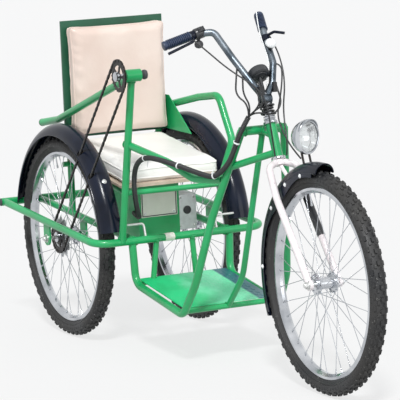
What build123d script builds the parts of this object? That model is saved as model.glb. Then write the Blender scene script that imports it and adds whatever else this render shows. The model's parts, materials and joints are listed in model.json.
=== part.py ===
"""Three-wheeled mobility tricycle with a padded chair, a hand crank and a steered front wheel.

Millimetres, +Z up, +X forward, +Y to the rider's left. Points are first laid out from the
rear axle's centre on the ground, and every piece is then moved so that the origin is on the
ground under the middle of the whole machine.
"""
import os
from math import cos, pi, radians, sin, tan

from build123d import *

# Driving dimensions
WHEEL_R = 337.0
TYRE_W = 54.0
WHEELBASE = 1345.0
HALF_TRACK = 231.0
REAR_REACH = 375.0
ORIGIN_X = (WHEELBASE + WHEEL_R - REAR_REACH) / 2

# Wheels
RIM_SEAT_R = 290.0
RIM_INNER_R = 270.0
RIM_W = 30.0
SPOKES = 36
SPOKE_R = 1.1
SPOKE_SWEEP = 62.0
FLANGE_R = 27.0
FLANGE_T = 3.0
FLANGE_Y = 28.0
HUB_BARREL_R = 17.0
REAR_HUB_HALF = 44.0
FRONT_HUB_HALF = 34.0
AXLE_R = 6.0
NUT_R = 11.0
NUT_T = 8.0
RUN_GAP = 0.08

# Main tubes
MAIN_R = 12.5
GUARD_Y = 306.0
GUARD_REAR_Z = 420.0
GUARD_FRONT_Z = 364.0
GUARD_BEND = 55.0
FRONT_BAR_X = 400.0
REAR_BAR_R = 13.5
REAR_BAR_X = -REAR_REACH + REAR_BAR_R
REAR_BAR_HALF = 320.0
INNER_RAIL_Y = 172.0
SOCKET_R = 9.5
SOCKET_DEPTH = 40.0
PLATE_T = 6.0
PLATE_HALF_W = 24.0

# Chair
SEAT_HALF_W = 188.0
SEAT_REAR_X, SEAT_REAR_Z = -76.0, 652.0
SEAT_FRONT_X, SEAT_FRONT_Z = 352.0, 600.0
CUSHION_T = 62.0
SEAT_BOARD_T = 8.0
BACK_FRONT_X = -16.0
BACK_TOP_Z = 1048.0
BACK_BOTTOM_Z = 662.0
BACK_T = 58.0
SHELL_T = 8.0
SHELL_LIP = 6.0
BACK_TUBE_R = 11.0
SIDE_TUBE_Y = 168.0

# Hand crank on the right-hand side
CHAIN_Y = -266.0
CRANK_X, CRANK_Z = 536.0, 916.0
CRANK_SHELL_R = 20.0
CRANK_BORE_R = 8.08
SPINDLE_R = 8.0
SPROCKET_R = 45.0
SPROCKET_T = 3.0
CHAIN_GAP = 2.5
CHAIN_T = 8.0
CHAIN_W = 6.0
POST_Y = -217.0

# Steering head
HEAD_X, HEAD_Z = 1066.0, 735.0
HEAD_TILT = 22.0
HEAD_LOW, HEAD_HIGH = 50.0, 55.0
HEAD_TUBE_R = 15.5
STEERER_R = 12.7
HEAD_BAR_X, HEAD_BAR_Z = 992.0, 765.0
FORK_LEG_Y = 50.0
FORK_LEG_R = 11.0

# Footboard
BOARD_Y = 172.0
BOARD_T = 3.0
BOARD_REAR_X, BOARD_REAR_Z = 394.0, 228.0
BOARD_FRONT_X, BOARD_FRONT_Z = 715.0, 180.0
BOARD_BAR_R = 9.0

# Mudguards
REAR_GUARD_R, REAR_GUARD_HALF_W = WHEEL_R + 45, 38.0
REAR_GUARD_X, REAR_GUARD_OUT = 14.0, 5.0
REAR_GUARD_ARC = (-76.5, 81.0)
FRONT_GUARD_R, FRONT_GUARD_HALF_W = WHEEL_R + 25, 32.0
FRONT_GUARD_ARC = (-114.0, 4.0)

os.makedirs("parts", exist_ok=True)

made = {}


def save(name, *solids, against=()):
    """Cope a piece round the earlier ones it is welded to, and write it from the machine's origin."""
    trimmed = []
    for solid in solids:
        for other in against:
            for part in made[other]:
                solid = solid - part
        trimmed.append(solid)
    made[name] = trimmed
    piece = trimmed[0] if len(trimmed) == 1 else Compound(children=list(trimmed))
    export_step(piece.moved(Location((-ORIGIN_X, 0, 0))), f"parts/{name}.step")


def fuse(solids):
    body = solids[0]
    for other in solids[1:]:
        body = body + other
    return body


def tube(points, radius, bends):
    """A round bar along straight runs, with an arc at each inner corner."""
    path = FilletPolyline(*[Vector(*p) for p in points], radius=bends)
    section = Plane(origin=path @ 0, z_dir=path % 0) * Circle(radius)
    return sweep(section, path=path)


def cable(points, radius, largest):
    """A cable along straight runs, with arcs as large as its runs allow."""
    corners = [Vector(*p) for p in points]
    bends = []
    for before, here, after in zip(corners, corners[1:], corners[2:]):
        shorter = min((here - before).length, (after - here).length)
        turn = radians((here - before).get_angle(after - here))
        bends.append(min(largest, 0.45 * shorter / tan(turn / 2)))
    print("cable", radius, "length of runs", round(sum((b - a).length for a, b in zip(corners, corners[1:]))),
          "smallest bend", round(min(bends)))
    return tube(points, radius, bends)


def rod(start, end, radius):
    start, end = Vector(*start), Vector(*end)
    return Solid.make_cylinder(radius, (end - start).length, Plane(start, z_dir=end - start))


def cross_rod(x, z, low, high, radius):
    """A rod along Y between two limits."""
    return rod((x, low, z), (x, high, z), radius)


def block(x, y, z):
    """A box from its two limits along each axis."""
    return Pos((x[0] + x[1]) / 2, (y[0] + y[1]) / 2, (z[0] + z[1]) / 2) * Box(
        x[1] - x[0], y[1] - y[0], z[1] - z[0])


def slab(points, half_width, middle=0.0):
    """A plate with the given side outline of (x, z) points, spread evenly to both sides."""
    face = Plane((0, middle, 0), x_dir=(1, 0, 0), z_dir=(0, -1, 0)) * make_face(Polyline(*points, close=True))
    return extrude(face, amount=half_width, both=True)


def turned(profile, centre):
    """A ring turned about the axle from a closed profile of (across, radius) points."""
    section = Plane(centre, x_dir=(0, 1, 0), z_dir=(1, 0, 0)) * make_face(profile)
    return revolve(section, axis=Axis(centre, (0, 1, 0)))


def tyre(centre):
    """A round carcass that ends flat on the rim's seat."""
    middle = WHEEL_R - TYRE_W / 2
    half = TYRE_W / 2
    foot = (half ** 2 - (middle - RIM_SEAT_R) ** 2) ** 0.5
    arc = ThreePointArc((-foot, RIM_SEAT_R), (0, WHEEL_R), (foot, RIM_SEAT_R))
    return turned(arc + Line((foot, RIM_SEAT_R), (-foot, RIM_SEAT_R)), centre)


def rim(centre):
    """A box-section rim whose well narrows towards the hub."""
    half, top, wall, well = RIM_W / 2, RIM_SEAT_R - 0.3, RIM_SEAT_R - 12, 5
    outline = Polyline((-half + 3, top), (half - 3, top), (half, top - 4), (half, wall),
                       (well, RIM_INNER_R), (-well, RIM_INNER_R), (-half, wall), (-half, top - 4),
                       close=True)
    return turned(outline, centre)


def hub(centre, half):
    """A barrel with two spoke flanges, bored to run on its axle."""
    x, y, z = centre
    flanges = [cross_rod(x, z, y + s * FLANGE_Y - FLANGE_T / 2, y + s * FLANGE_Y + FLANGE_T / 2,
                         FLANGE_R + 5) for s in (-1, 1)]
    barrel = cross_rod(x, z, y - half, y + half, HUB_BARREL_R)
    return fuse([barrel] + flanges) - cross_rod(x, z, y - half - 1, y + half + 1, AXLE_R + RUN_GAP)


def spokes(centre):
    """Crossed spokes: each leaves its flange almost along a tangent."""
    x, y, z = centre
    rods = []
    for i in range(SPOKES):
        side = 1 if i % 2 == 0 else -1
        lean = 1 if (i // 2) % 2 == 0 else -1
        at_rim = 2 * pi * i / SPOKES
        at_hub = at_rim + lean * radians(SPOKE_SWEEP)
        inset = side * (FLANGE_Y + lean * (FLANGE_T / 2 + SPOKE_R + 0.2))
        start = (x + FLANGE_R * cos(at_hub), y + inset, z + FLANGE_R * sin(at_hub))
        reach = RIM_INNER_R - 0.2
        end = (x + reach * cos(at_rim), y + side * 2, z + reach * sin(at_rim))
        rods.append(rod(start, end, SPOKE_R))
    return rods


def wheel(name, centre, hub_half):
    save(f"{name}_tyre", tyre(centre))
    save(f"{name}_rim", rim(centre))
    save(f"{name}_hub", hub(centre, hub_half))
    save(f"{name}_spokes", *spokes(centre), against=[f"{name}_hub"])


def mudguard(centre, radius, half_width, start, end, skin=3.0):
    """A rounded guard over a wheel, from one angle to the other, zero being straight up."""
    foot = radius - half_width * 0.95
    outer = ThreePointArc((-half_width, foot), (0, radius), (half_width, foot))
    inner = ThreePointArc((half_width - skin, foot), (0, radius - skin), (-half_width + skin, foot))
    edges = outer + inner + Line(outer @ 1, inner @ 0) + Line(inner @ 1, outer @ 0)
    section = Plane(centre, x_dir=(0, 1, 0), z_dir=(1, 0, 0)) * make_face(edges)
    guard = revolve(section, axis=Axis(centre, (0, 1, 0)), revolution_arc=end - start)
    return guard.rotate(Axis(centre, (0, 1, 0)), start)


# Wheels
wheel("front_wheel", (WHEELBASE, 0.0, WHEEL_R), FRONT_HUB_HALF)
wheel("left_wheel", (0.0, HALF_TRACK, WHEEL_R), REAR_HUB_HALF)
wheel("right_wheel", (0.0, -HALF_TRACK, WHEEL_R), REAR_HUB_HALF)


# Rear frame: two side guards joined by a front bar and a rear bar, with an inner rail each side
def guard_z(x):
    share = (x - REAR_BAR_X) / (FRONT_BAR_X - REAR_BAR_X)
    return GUARD_REAR_Z + share * (GUARD_FRONT_Z - GUARD_REAR_Z)


rear_bar = cross_rod(REAR_BAR_X, GUARD_REAR_Z, -REAR_BAR_HALF, REAR_BAR_HALF, REAR_BAR_R)
for s in (-1, 1):
    rear_bar -= rod((REAR_BAR_X, s * REAR_BAR_HALF, GUARD_REAR_Z),
                    (REAR_BAR_X, s * (REAR_BAR_HALF - SOCKET_DEPTH), GUARD_REAR_Z), SOCKET_R)
save("rear_bar", rear_bar)
side_guard = tube([(REAR_BAR_X, -GUARD_Y, GUARD_REAR_Z), (FRONT_BAR_X, -GUARD_Y, GUARD_FRONT_Z),
                   (FRONT_BAR_X, GUARD_Y, GUARD_FRONT_Z), (REAR_BAR_X, GUARD_Y, GUARD_REAR_Z)],
                  MAIN_R, GUARD_BEND)
through_bar = cross_rod(REAR_BAR_X, GUARD_REAR_Z, -REAR_BAR_HALF, REAR_BAR_HALF, SOCKET_R)
save("guard_loop", side_guard - through_bar, against=["rear_bar"])
save("inner_rails", *[rod((REAR_BAR_X, s * INNER_RAIL_Y, GUARD_REAR_Z),
                          (FRONT_BAR_X, s * INNER_RAIL_Y, GUARD_FRONT_Z), MAIN_R - 1) for s in (-1, 1)],
     against=["guard_loop", "rear_bar"])


def rear_axle(s):
    """A fixed axle through an inner and an outer plate, with a nut outside each."""
    half = PLATE_T / 2
    bar = cross_rod(0, WHEEL_R, *sorted((s * (INNER_RAIL_Y - 14), s * (GUARD_Y + 14))), AXLE_R)
    nuts = [cross_rod(0, WHEEL_R, *sorted((s * a, s * b)), NUT_R)
            for a, b in ((INNER_RAIL_Y - half - NUT_T, INNER_RAIL_Y - half),
                         (GUARD_Y + half, GUARD_Y + half + NUT_T))]
    return fuse([bar] + nuts)


def axle_plate(y):
    """A drop plate that hangs from a rail and carries one end of an axle."""
    half = PLATE_T / 2
    body = block((-PLATE_HALF_W, PLATE_HALF_W), (y - half, y + half), (WHEEL_R, guard_z(0) - 4))
    return body + cross_rod(0, WHEEL_R, y - half, y + half, PLATE_HALF_W)


save("rear_axles", rear_axle(-1), rear_axle(1))
save("axle_plates", *[axle_plate(s * y) for s in (-1, 1) for y in (GUARD_Y, INNER_RAIL_Y)],
     against=["guard_loop", "inner_rails", "rear_axles"])

# Footboard loops: down from the front bar, along the board's edge and up to the head
LOOP = [(FRONT_BAR_X - 6, 178, GUARD_FRONT_Z), (FRONT_BAR_X - 2, BOARD_Y, 222), (737, BOARD_Y, 169),
        (812, 162, 275), (884, 130, 494), (HEAD_BAR_X, 74, HEAD_BAR_Z)]
loop_left = tube(LOOP, MAIN_R, [45, 40, 160, 240])
save("left_loop", loop_left, against=["guard_loop", "inner_rails"])
save("right_loop", loop_left.mirror(Plane.XZ), against=["guard_loop", "inner_rails"])
save("head_bar", cross_rod(HEAD_BAR_X, HEAD_BAR_Z, -78, 78, MAIN_R + 1.5),
     against=["left_loop", "right_loop"])


def along_head(s, across=0.0):
    """A point on the steering axis, s below its middle."""
    return (HEAD_X + s * sin(radians(HEAD_TILT)), across, HEAD_Z - s * cos(radians(HEAD_TILT)))


head_bore = rod(along_head(-HEAD_HIGH - 1), along_head(HEAD_LOW + 1), STEERER_R + 0.1)
head_body = rod(along_head(-HEAD_HIGH), along_head(HEAD_LOW), HEAD_TUBE_R)
save("head_tube", head_body - head_bore)
neck = [rod((HEAD_BAR_X, 0, HEAD_BAR_Z), along_head(-18), MAIN_R)]
neck += [rod((926, s * 108, 645), along_head(34), MAIN_R - 1.5) for s in (-1, 1)]
save("neck_struts", fuse(neck) - head_body, against=["head_bar", "left_loop", "right_loop"])

# Footboard, its bars and the tube that comes up through its middle
BOARD_LIFT = BOARD_BAR_R - 3
rear_board_bar = cross_rod(BOARD_REAR_X + 10, BOARD_REAR_Z - 4, -BOARD_Y, BOARD_Y, BOARD_BAR_R)
front_board_bar = cross_rod(BOARD_FRONT_X, BOARD_FRONT_Z - 4, -BOARD_Y, BOARD_Y, BOARD_BAR_R)
save("board_bars", rear_board_bar, front_board_bar, against=["left_loop", "right_loop"])
save("centre_tube", tube([(BOARD_FRONT_X, 0, BOARD_FRONT_Z - 4), (822, 0, 285), (890, 0, 475),
                          (HEAD_BAR_X, 0, HEAD_BAR_Z)], 9.5, [150, 300]),
     against=["board_bars", "head_bar", "neck_struts"])
save("footboard", slab([(BOARD_REAR_X, BOARD_REAR_Z + BOARD_LIFT), (BOARD_FRONT_X, BOARD_FRONT_Z + BOARD_LIFT),
                        (BOARD_FRONT_X, BOARD_FRONT_Z + BOARD_LIFT + BOARD_T),
                        (BOARD_REAR_X, BOARD_REAR_Z + BOARD_LIFT + BOARD_T)], BOARD_Y - 13.5),
     against=["board_bars", "centre_tube", "left_loop", "right_loop"])
save("board_braces", *[rod((FRONT_BAR_X, top, GUARD_FRONT_Z), (BOARD_REAR_X + 10, low, BOARD_REAR_Z), 9.3)
                       for top, low in ((-92, -112), (36, 44))],
     against=["guard_loop", "board_bars", "footboard"])

# Crank post, arm rests and the rail from the post to the head
post = rod((FRONT_BAR_X + 4, POST_Y, GUARD_FRONT_Z), (CRANK_X - 6, POST_Y, CRANK_Z), MAIN_R - 0.5)
shell = cross_rod(CRANK_X, CRANK_Z, POST_Y - 26, POST_Y + 26, CRANK_SHELL_R)
shell_bore = cross_rod(CRANK_X, CRANK_Z, POST_Y - 27, POST_Y + 27, CRANK_BORE_R)
save("crank_post", post + shell - shell_bore, against=["guard_loop"])
REST_END = (-232, -204, 700)
right_rest = tube([REST_END, (-92, -205, 722), (CRANK_X - 28, -208, CRANK_Z - 6)], MAIN_R, 60)
right_rest -= rod(REST_END, (REST_END[0] + 40, REST_END[1] - 0.3, REST_END[2] + 6.3), SOCKET_R)
save("right_arm_rest", right_rest, against=["crank_post"])
save("left_arm_rest", tube([(-62, 206, 742), (150, 206, 782), (300, 206, 800), (388, 206, 655),
                            (366, 166, 518)], MAIN_R, [120, 45, 60]))
save("side_rail", tube([(FRONT_BAR_X + 56, POST_Y + 4, 690), (690, -178, 650), (800, -146, 606),
                        (922, -110, 612)], MAIN_R - 0.5, [160, 90]), against=["crank_post", "right_loop"])

# Seat frame and chair
SEAT_BAR_Z = SEAT_FRONT_Z - CUSHION_T - 24
RAIL_REAR_Z = SEAT_REAR_Z - CUSHION_T - 20
seat_frame = [rod((-70, s * SIDE_TUBE_Y, RAIL_REAR_Z), (SEAT_FRONT_X, s * SIDE_TUBE_Y, SEAT_BAR_Z), 10)
              for s in (-1, 1)]
seat_frame += [cross_rod(-74, RAIL_REAR_Z, -204, 204, 9),
               rod((350, -172, SEAT_BAR_Z), (366, 166, SEAT_BAR_Z), 9),
               rod((350, -172, SEAT_BAR_Z), (FRONT_BAR_X + 38, POST_Y, SEAT_BAR_Z), 9)]
save("seat_frame", fuse(seat_frame), against=["crank_post", "left_arm_rest"])

UNDER_REAR, UNDER_FRONT = SEAT_REAR_Z - CUSHION_T, SEAT_FRONT_Z - CUSHION_T
save("seat_cushion", slab([(SEAT_REAR_X, UNDER_REAR), (SEAT_FRONT_X, UNDER_FRONT),
                           (SEAT_FRONT_X, SEAT_FRONT_Z), (SEAT_REAR_X, SEAT_REAR_Z)], SEAT_HALF_W))
save("seat_board", slab([(SEAT_REAR_X, UNDER_REAR - SEAT_BOARD_T), (SEAT_FRONT_X, UNDER_FRONT - SEAT_BOARD_T),
                         (SEAT_FRONT_X, UNDER_FRONT), (SEAT_REAR_X, UNDER_REAR)], SEAT_HALF_W - 3),
     against=["seat_frame"])
BACK_REAR_X = BACK_FRONT_X - BACK_T
save("back_cushion", block((BACK_REAR_X, BACK_FRONT_X), (-SEAT_HALF_W, SEAT_HALF_W),
                           (BACK_BOTTOM_Z, BACK_TOP_Z)))
save("back_shell", block((BACK_REAR_X - SHELL_T, BACK_REAR_X), (-SEAT_HALF_W - 1, SEAT_HALF_W + 1),
                         (BACK_BOTTOM_Z - 4, BACK_TOP_Z + SHELL_LIP)))
back_x = BACK_REAR_X - SHELL_T - BACK_TUBE_R
save("back_frame", *[rod((back_x, s * SIDE_TUBE_Y, guard_z(back_x)), (back_x, s * SIDE_TUBE_Y, 1000),
                         BACK_TUBE_R) for s in (-1, 1)], against=["inner_rails", "seat_frame"])
save("side_panel", slab([(BACK_REAR_X - SHELL_T, 660), (118, 655), (-46, 776), (BACK_REAR_X - SHELL_T, 776)],
                        1.5, SEAT_HALF_W + 2.5))

# Battery box under the seat, its blank sign plate, and the control box beside it
BOX_X, BOX_Y, BOX_Z = (-40.0, 236.0), (-75.0, 75.0), (342.0, 520.0)
WALL = 2.0
inside = block((BOX_X[0] + WALL, BOX_X[1] - WALL), (BOX_Y[0] + WALL, BOX_Y[1] - WALL),
               (BOX_Z[0] + WALL, BOX_Z[1] + 1))
save("battery_box", block(BOX_X, BOX_Y, BOX_Z) - inside)
save("battery", block((BOX_X[0] + 12, BOX_X[1] - 14), (BOX_Y[0] + 8, BOX_Y[1] - 8),
                      (BOX_Z[0] + WALL, BOX_Z[0] + 150)))
save("sign_plate", block((BOX_X[1], BOX_X[1] + WALL), (-66, 66), (408, 502)))
save("control_box", block((60, 225), (BOX_Y[1], BOX_Y[1] + 68), (352, 470)))

# Mudguards over the rear wheels, with their stays; the right one is slotted for the chain
chain_run = Vector(CRANK_X, 0, CRANK_Z - WHEEL_R)
run_dir = chain_run.normalized()
run_side = Vector(run_dir.Z, 0, -run_dir.X)
PITCH_R = SPROCKET_R + CHAIN_GAP + CHAIN_T / 2
SLOT_R = 9.0


def run_slot(side):
    """The way that one of the chain's two straight runs takes through the mudguard."""
    base = Vector(0, CHAIN_Y, WHEEL_R) + run_side * (side * PITCH_R)
    return rod(base + run_dir * 250, base + run_dir * 460, SLOT_R)


for name, s in (("left_mudguard", 1), ("right_mudguard", -1)):
    guard = mudguard((REAR_GUARD_X, s * (HALF_TRACK + REAR_GUARD_OUT), WHEEL_R), REAR_GUARD_R,
                     REAR_GUARD_HALF_W, *REAR_GUARD_ARC)
    if s < 0:
        guard = guard - run_slot(-1) - run_slot(1)
    save(name, guard, against=["rear_bar"])

STAY_X, STAY_Z = REAR_GUARD_X + REAR_GUARD_R - 12, 415.0
save("mudguard_stays", *[tube([(STAY_X, s * 200, STAY_Z), (STAY_X, s * 130, STAY_Z),
                               (FRONT_BAR_X, s * 130, GUARD_FRONT_Z)], 4, 10) for s in (-1, 1)],
     against=["left_mudguard", "right_mudguard", "guard_loop"])

# Chain from the hand crank down to the right wheel
chain_plane = Plane((CRANK_X / 2, CHAIN_Y, (CRANK_Z + WHEEL_R) / 2), x_dir=run_dir, z_dir=(0, -1, 0))
outer_run = SlotCenterToCenter(chain_run.length, 2 * (PITCH_R + CHAIN_T / 2))
inner_run = SlotCenterToCenter(chain_run.length, 2 * (PITCH_R - CHAIN_T / 2))
save("chain", extrude(chain_plane * (outer_run - inner_run), amount=CHAIN_W / 2, both=True))


def sprocket(x, z, hole):
    low, high = CHAIN_Y - SPROCKET_T / 2, CHAIN_Y + SPROCKET_T / 2
    return cross_rod(x, z, low, high, SPROCKET_R) - cross_rod(x, z, low, high, hole)


save("wheel_sprocket", sprocket(0, WHEEL_R, HUB_BARREL_R))
save("crank_sprocket", sprocket(CRANK_X, CRANK_Z, SPINDLE_R))
spindle = cross_rod(CRANK_X, CRANK_Z, POST_Y - 58, POST_Y + 42, SPINDLE_R)
boss = cross_rod(CRANK_X, CRANK_Z, CHAIN_Y - 12, CHAIN_Y - SPROCKET_T / 2, 15)
save("crank_spindle", spindle + boss, against=["crank_sprocket"])

# Fork, front axle and stem: one body that turns about the steering axis
CROWN = along_head(HEAD_LOW + 14)
save("steerer", rod(along_head(-HEAD_HIGH - 92), CROWN, STEERER_R))
axle_end = FORK_LEG_Y + 5
front_axle = [cross_rod(WHEELBASE, WHEEL_R, -axle_end - 12, axle_end + 12, AXLE_R)]
front_axle += [cross_rod(WHEELBASE, WHEEL_R, *sorted((s * axle_end, s * (axle_end + NUT_T))), NUT_R)
               for s in (-1, 1)]
save("front_axle", fuse(front_axle))
LEG = [(CROWN[0], 8, CROWN[2]), (CROWN[0] + 27, FORK_LEG_Y, CROWN[2] - 12), (1157, FORK_LEG_Y, 578),
       (WHEELBASE, FORK_LEG_Y, WHEEL_R)]
fork = [rod(along_head(HEAD_LOW + 2), along_head(HEAD_LOW + 26), HEAD_TUBE_R + 2),
        rod(along_head(HEAD_LOW + 20), (1141, 0, 634), 6)]
for s in (-1, 1):
    fork.append(tube([(x, s * y, z) for x, y, z in LEG], FORK_LEG_R, [26, 110]))
    fork.append(cross_rod(WHEELBASE, WHEEL_R, *sorted((s * (FORK_LEG_Y - 5), s * axle_end)), 16))
save("front_mudguard", mudguard((WHEELBASE, 0, WHEEL_R), FRONT_GUARD_R, FRONT_GUARD_HALF_W,
                                *FRONT_GUARD_ARC))
save("fork", fuse(fork), against=["steerer", "front_axle", "front_mudguard"])

# Handlebar, set turned to the left in its clamp
CLAMP = along_head(-HEAD_HIGH - 80)
BAR_R = 11.1
GRIP_R = 16.0
RIGHT_BAR = [CLAMP, (1020, -40, 905), (950, -72, 985), (905, -110, 1066), (880, -160, 1062),
             (872, -262, 1033)]
LEFT_BAR = [CLAMP, (1016, 26, 905), (985, 48, 965), (905, 62, 1050), (846, 78, 1100)]
save("handlebar", tube(RIGHT_BAR, BAR_R, [25, 40, 24, 24]) + tube(LEFT_BAR, BAR_R, [16, 30, 60]),
     against=["steerer"])


def on_run(start, end, share):
    start, end = Vector(*start), Vector(*end)
    return start + (end - start) * share


def sleeve(run, near, far, radius):
    """A ring round a bar, between two shares of one of its runs."""
    return rod(on_run(*run, near), on_run(*run, far), radius)


RIGHT_RUN, LEFT_RUN = RIGHT_BAR[-2:], LEFT_BAR[-2:]
save("grips", sleeve(RIGHT_RUN, 0.2, 1.06, GRIP_R), sleeve(LEFT_RUN, 0.2, 1.07, GRIP_R),
     against=["handlebar"])


def lever(run, near, far, points):
    """A clamp on the bar with a blade that reaches along the grip."""
    return sleeve(run, near, far, GRIP_R - 2) + tube(points, 4.5, 14)


save("brake_levers",
     lever(RIGHT_RUN, -0.02, 0.16, [(880, -166, 1060), (902, -178, 1042), (896, -262, 1010)]),
     lever(LEFT_BAR[-3:-1], 0.72, 0.88, [(916, 60, 1040), (950, 74, 1056), (976, 96, 1052)]),
     against=["handlebar", "grips"])

# Clock and bell on the bar
CLOCK = Vector(994, -7, 934)
CLOCK_R, CLOCK_HALF_T = 32, 12
clock_dir = Vector(-0.75, 0, 0.66).normalized()
clock_case = rod(CLOCK - clock_dir * CLOCK_HALF_T, CLOCK + clock_dir * CLOCK_HALF_T, CLOCK_R)
clock = clock_case + rod(CLOCK, along_head(-HEAD_HIGH - 88), 6)
BELL = Vector(958, 53, 1014)
save("clock_and_bell", clock, rod(BELL, BELL + Vector(10, 0, 12), 15), against=["handlebar", "steerer"])

# Headlamp on a bracket above the front mudguard, turned like the handlebar
LAMP = (1254.0, 0.0, 766.0)
LAMP_YAW = 24.0
LAMP_R = 51.0
lamp_dir = Vector(cos(radians(LAMP_YAW)), sin(radians(LAMP_YAW)), 0)
lamp_profile = Polyline((0, -34), (26, -34), (44, -14), (LAMP_R, 8), (LAMP_R, 16), (0, 16), close=True)
lamp_plane = Plane(LAMP, x_dir=(0, 0, 1), z_dir=Vector(0, 0, 1).cross(lamp_dir))
save("headlamp", revolve(lamp_plane * make_face(lamp_profile), axis=Axis(LAMP, lamp_dir)))
STAY_FOOT_X, STAY_FOOT_Z = LAMP[0] + 14, WHEEL_R + FRONT_GUARD_R - 14
save("lamp_stay", *[rod((STAY_FOOT_X, s * 12, STAY_FOOT_Z), (LAMP[0] - 6, s * 12, LAMP[2] - 30), 3.5)
                    for s in (-1, 1)], against=["headlamp", "front_mudguard"])

# Lamp cable from the left bar, round the head and down to the lamp's foot
save("lamp_cable", cable([(1002, 52, 962), (1052, 40, 962), (1100, 16, 935), (1112, 2, 880), (1098, -6, 820),
                          (1128, -4, 768), (1178, 0, 722), (1228, 0, 698)], 2.5, 60),
     against=["handlebar", "front_mudguard"])

# Conduit that holds the wires: down the right loop, back along the side rail and into the box
CONDUIT = [(1028, -66, 812), (1011, -86, 768), (994, -96, 724), (972, -110, 668), (928, -136, 622),
           (860, -152, 628), (770, -178, 646), (690, -204, 660), (600, -214, 662), (520, -206, 636),
           (455, -189, 590), (446, -186, 520), (424, -166, 456), (340, -122, 428), (250, -92, 422),
           (200, BOX_Y[0], 422)]
save("conduit", cable(CONDUIT, 8.5, 90), against=["battery_box"])
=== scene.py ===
# %% [markdown]
# This lesson dresses a mobility tricycle: a green tube frame with a padded chair, a hand crank
# and three spoked wheels. The load-bearing pieces come ready made in the frame file. They could
# all be modelled again here, but the frame's pieces already have the right size and place, so
# this file only gives them their finish and adds the small forms that steel drawings leave out.

# %% Load the frame
import json
import random
from math import cos, pi, radians, sin, sqrt

import bmesh
import bpy
from mathutils import Matrix, Vector, noise


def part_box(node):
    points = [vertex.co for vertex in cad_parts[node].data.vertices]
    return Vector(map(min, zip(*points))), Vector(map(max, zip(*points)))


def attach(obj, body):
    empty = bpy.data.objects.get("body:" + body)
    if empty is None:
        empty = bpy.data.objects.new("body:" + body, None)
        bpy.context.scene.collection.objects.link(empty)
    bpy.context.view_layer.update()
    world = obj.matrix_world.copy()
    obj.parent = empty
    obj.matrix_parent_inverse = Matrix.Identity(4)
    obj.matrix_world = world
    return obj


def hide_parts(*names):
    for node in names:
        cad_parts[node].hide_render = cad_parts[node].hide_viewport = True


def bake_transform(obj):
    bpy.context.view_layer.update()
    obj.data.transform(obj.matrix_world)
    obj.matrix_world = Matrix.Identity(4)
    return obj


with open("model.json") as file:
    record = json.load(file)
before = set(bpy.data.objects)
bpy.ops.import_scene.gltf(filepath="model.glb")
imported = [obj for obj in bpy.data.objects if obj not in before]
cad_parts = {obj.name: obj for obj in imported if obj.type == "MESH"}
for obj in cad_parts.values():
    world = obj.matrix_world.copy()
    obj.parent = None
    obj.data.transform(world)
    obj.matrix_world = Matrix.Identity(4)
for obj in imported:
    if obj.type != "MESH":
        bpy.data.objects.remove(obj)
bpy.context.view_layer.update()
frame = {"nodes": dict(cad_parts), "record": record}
random.seed(7)
print("pieces in the frame:", len(frame["nodes"]))

# %% [markdown]
# Sizes on a cycle are spoken of in millimetres from the rear axle, because that is where a
# builder hooks the tape. The frame file is in metres from the middle of the machine. One small
# function turns the first into the second, so every later place reads like a workshop note.

# %% Places
AXLE_TO_MIDDLE = 653.5
MM = 0.001
AHEAD, ACROSS, UP = Vector((1, 0, 0)), Vector((0, 1, 0)), Vector((0, 0, 1))


def spot(x, y, z):
    """A point in millimetres from the ground under the rear axle, as a place in the frame."""
    return Vector(((x - AXLE_TO_MIDDLE) * MM, y * MM, z * MM))


def placed(name, data):
    """A new object in the scene."""
    made = bpy.data.objects.new(name, data)
    bpy.context.scene.collection.objects.link(made)
    return made


def middle(node):
    low, high = (Vector(corner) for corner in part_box(node))
    return (low + high) / 2, high - low


front_hub, front_size = middle("front_wheel_tyre")
print("front hub at", tuple(round(v, 3) for v in front_hub))

# %% [markdown]
# The camera stands ahead of the machine on its right, a little above the handlebar, and a long
# lens keeps the wheels nearly round. A camera can be aimed by a track constraint, but here the
# three directions of its body are known, so they are set as the columns of its matrix.

# %% Camera
CAMERA_AT = spot(8079.2, -3757.6, 1728.1)
CAMERA_RIGHT = Vector((0.45118, 0.89150, -0.04076))
CAMERA_UP = Vector((-0.11103, 0.10139, 0.98863))
PICTURE_WIDTH = 400
LENS_IN_PIXELS = 2644.4

camera_data = bpy.data.cameras.new("camera")
camera = placed("camera", camera_data)
back = CAMERA_RIGHT.cross(CAMERA_UP)
aim = Matrix((CAMERA_RIGHT, CAMERA_UP, back)).transposed().to_4x4()
camera.matrix_world = Matrix.Translation(CAMERA_AT) @ aim
camera_data.sensor_width = 36
camera_data.lens = camera_data.sensor_width * LENS_IN_PIXELS / PICTURE_WIDTH
bpy.context.scene.camera = camera
print("lens", round(camera_data.lens), "mm")

# %% [markdown]
# A pale floor and soft daylight show the machine as in a catalogue. A white floor can be had by
# strong lamps, but that bleaches the paint. Here the floor itself glows a little towards the
# camera and in mirrors, so it stays pale while the lamps stay at a plain level.

# %% Floor and light
FLOOR_HALF = 40.0
FLOOR_GLOW = 0.74


def math_node(tree, operation, first, second):
    """One sum on two values, of which the second may be a plain number."""
    node = tree.nodes.new("ShaderNodeMath")
    node.operation = operation
    tree.links.new(first, node.inputs[0])
    if isinstance(second, float):
        node.inputs[1].default_value = second
    else:
        tree.links.new(second, node.inputs[1])
    return node.outputs[0]


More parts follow.
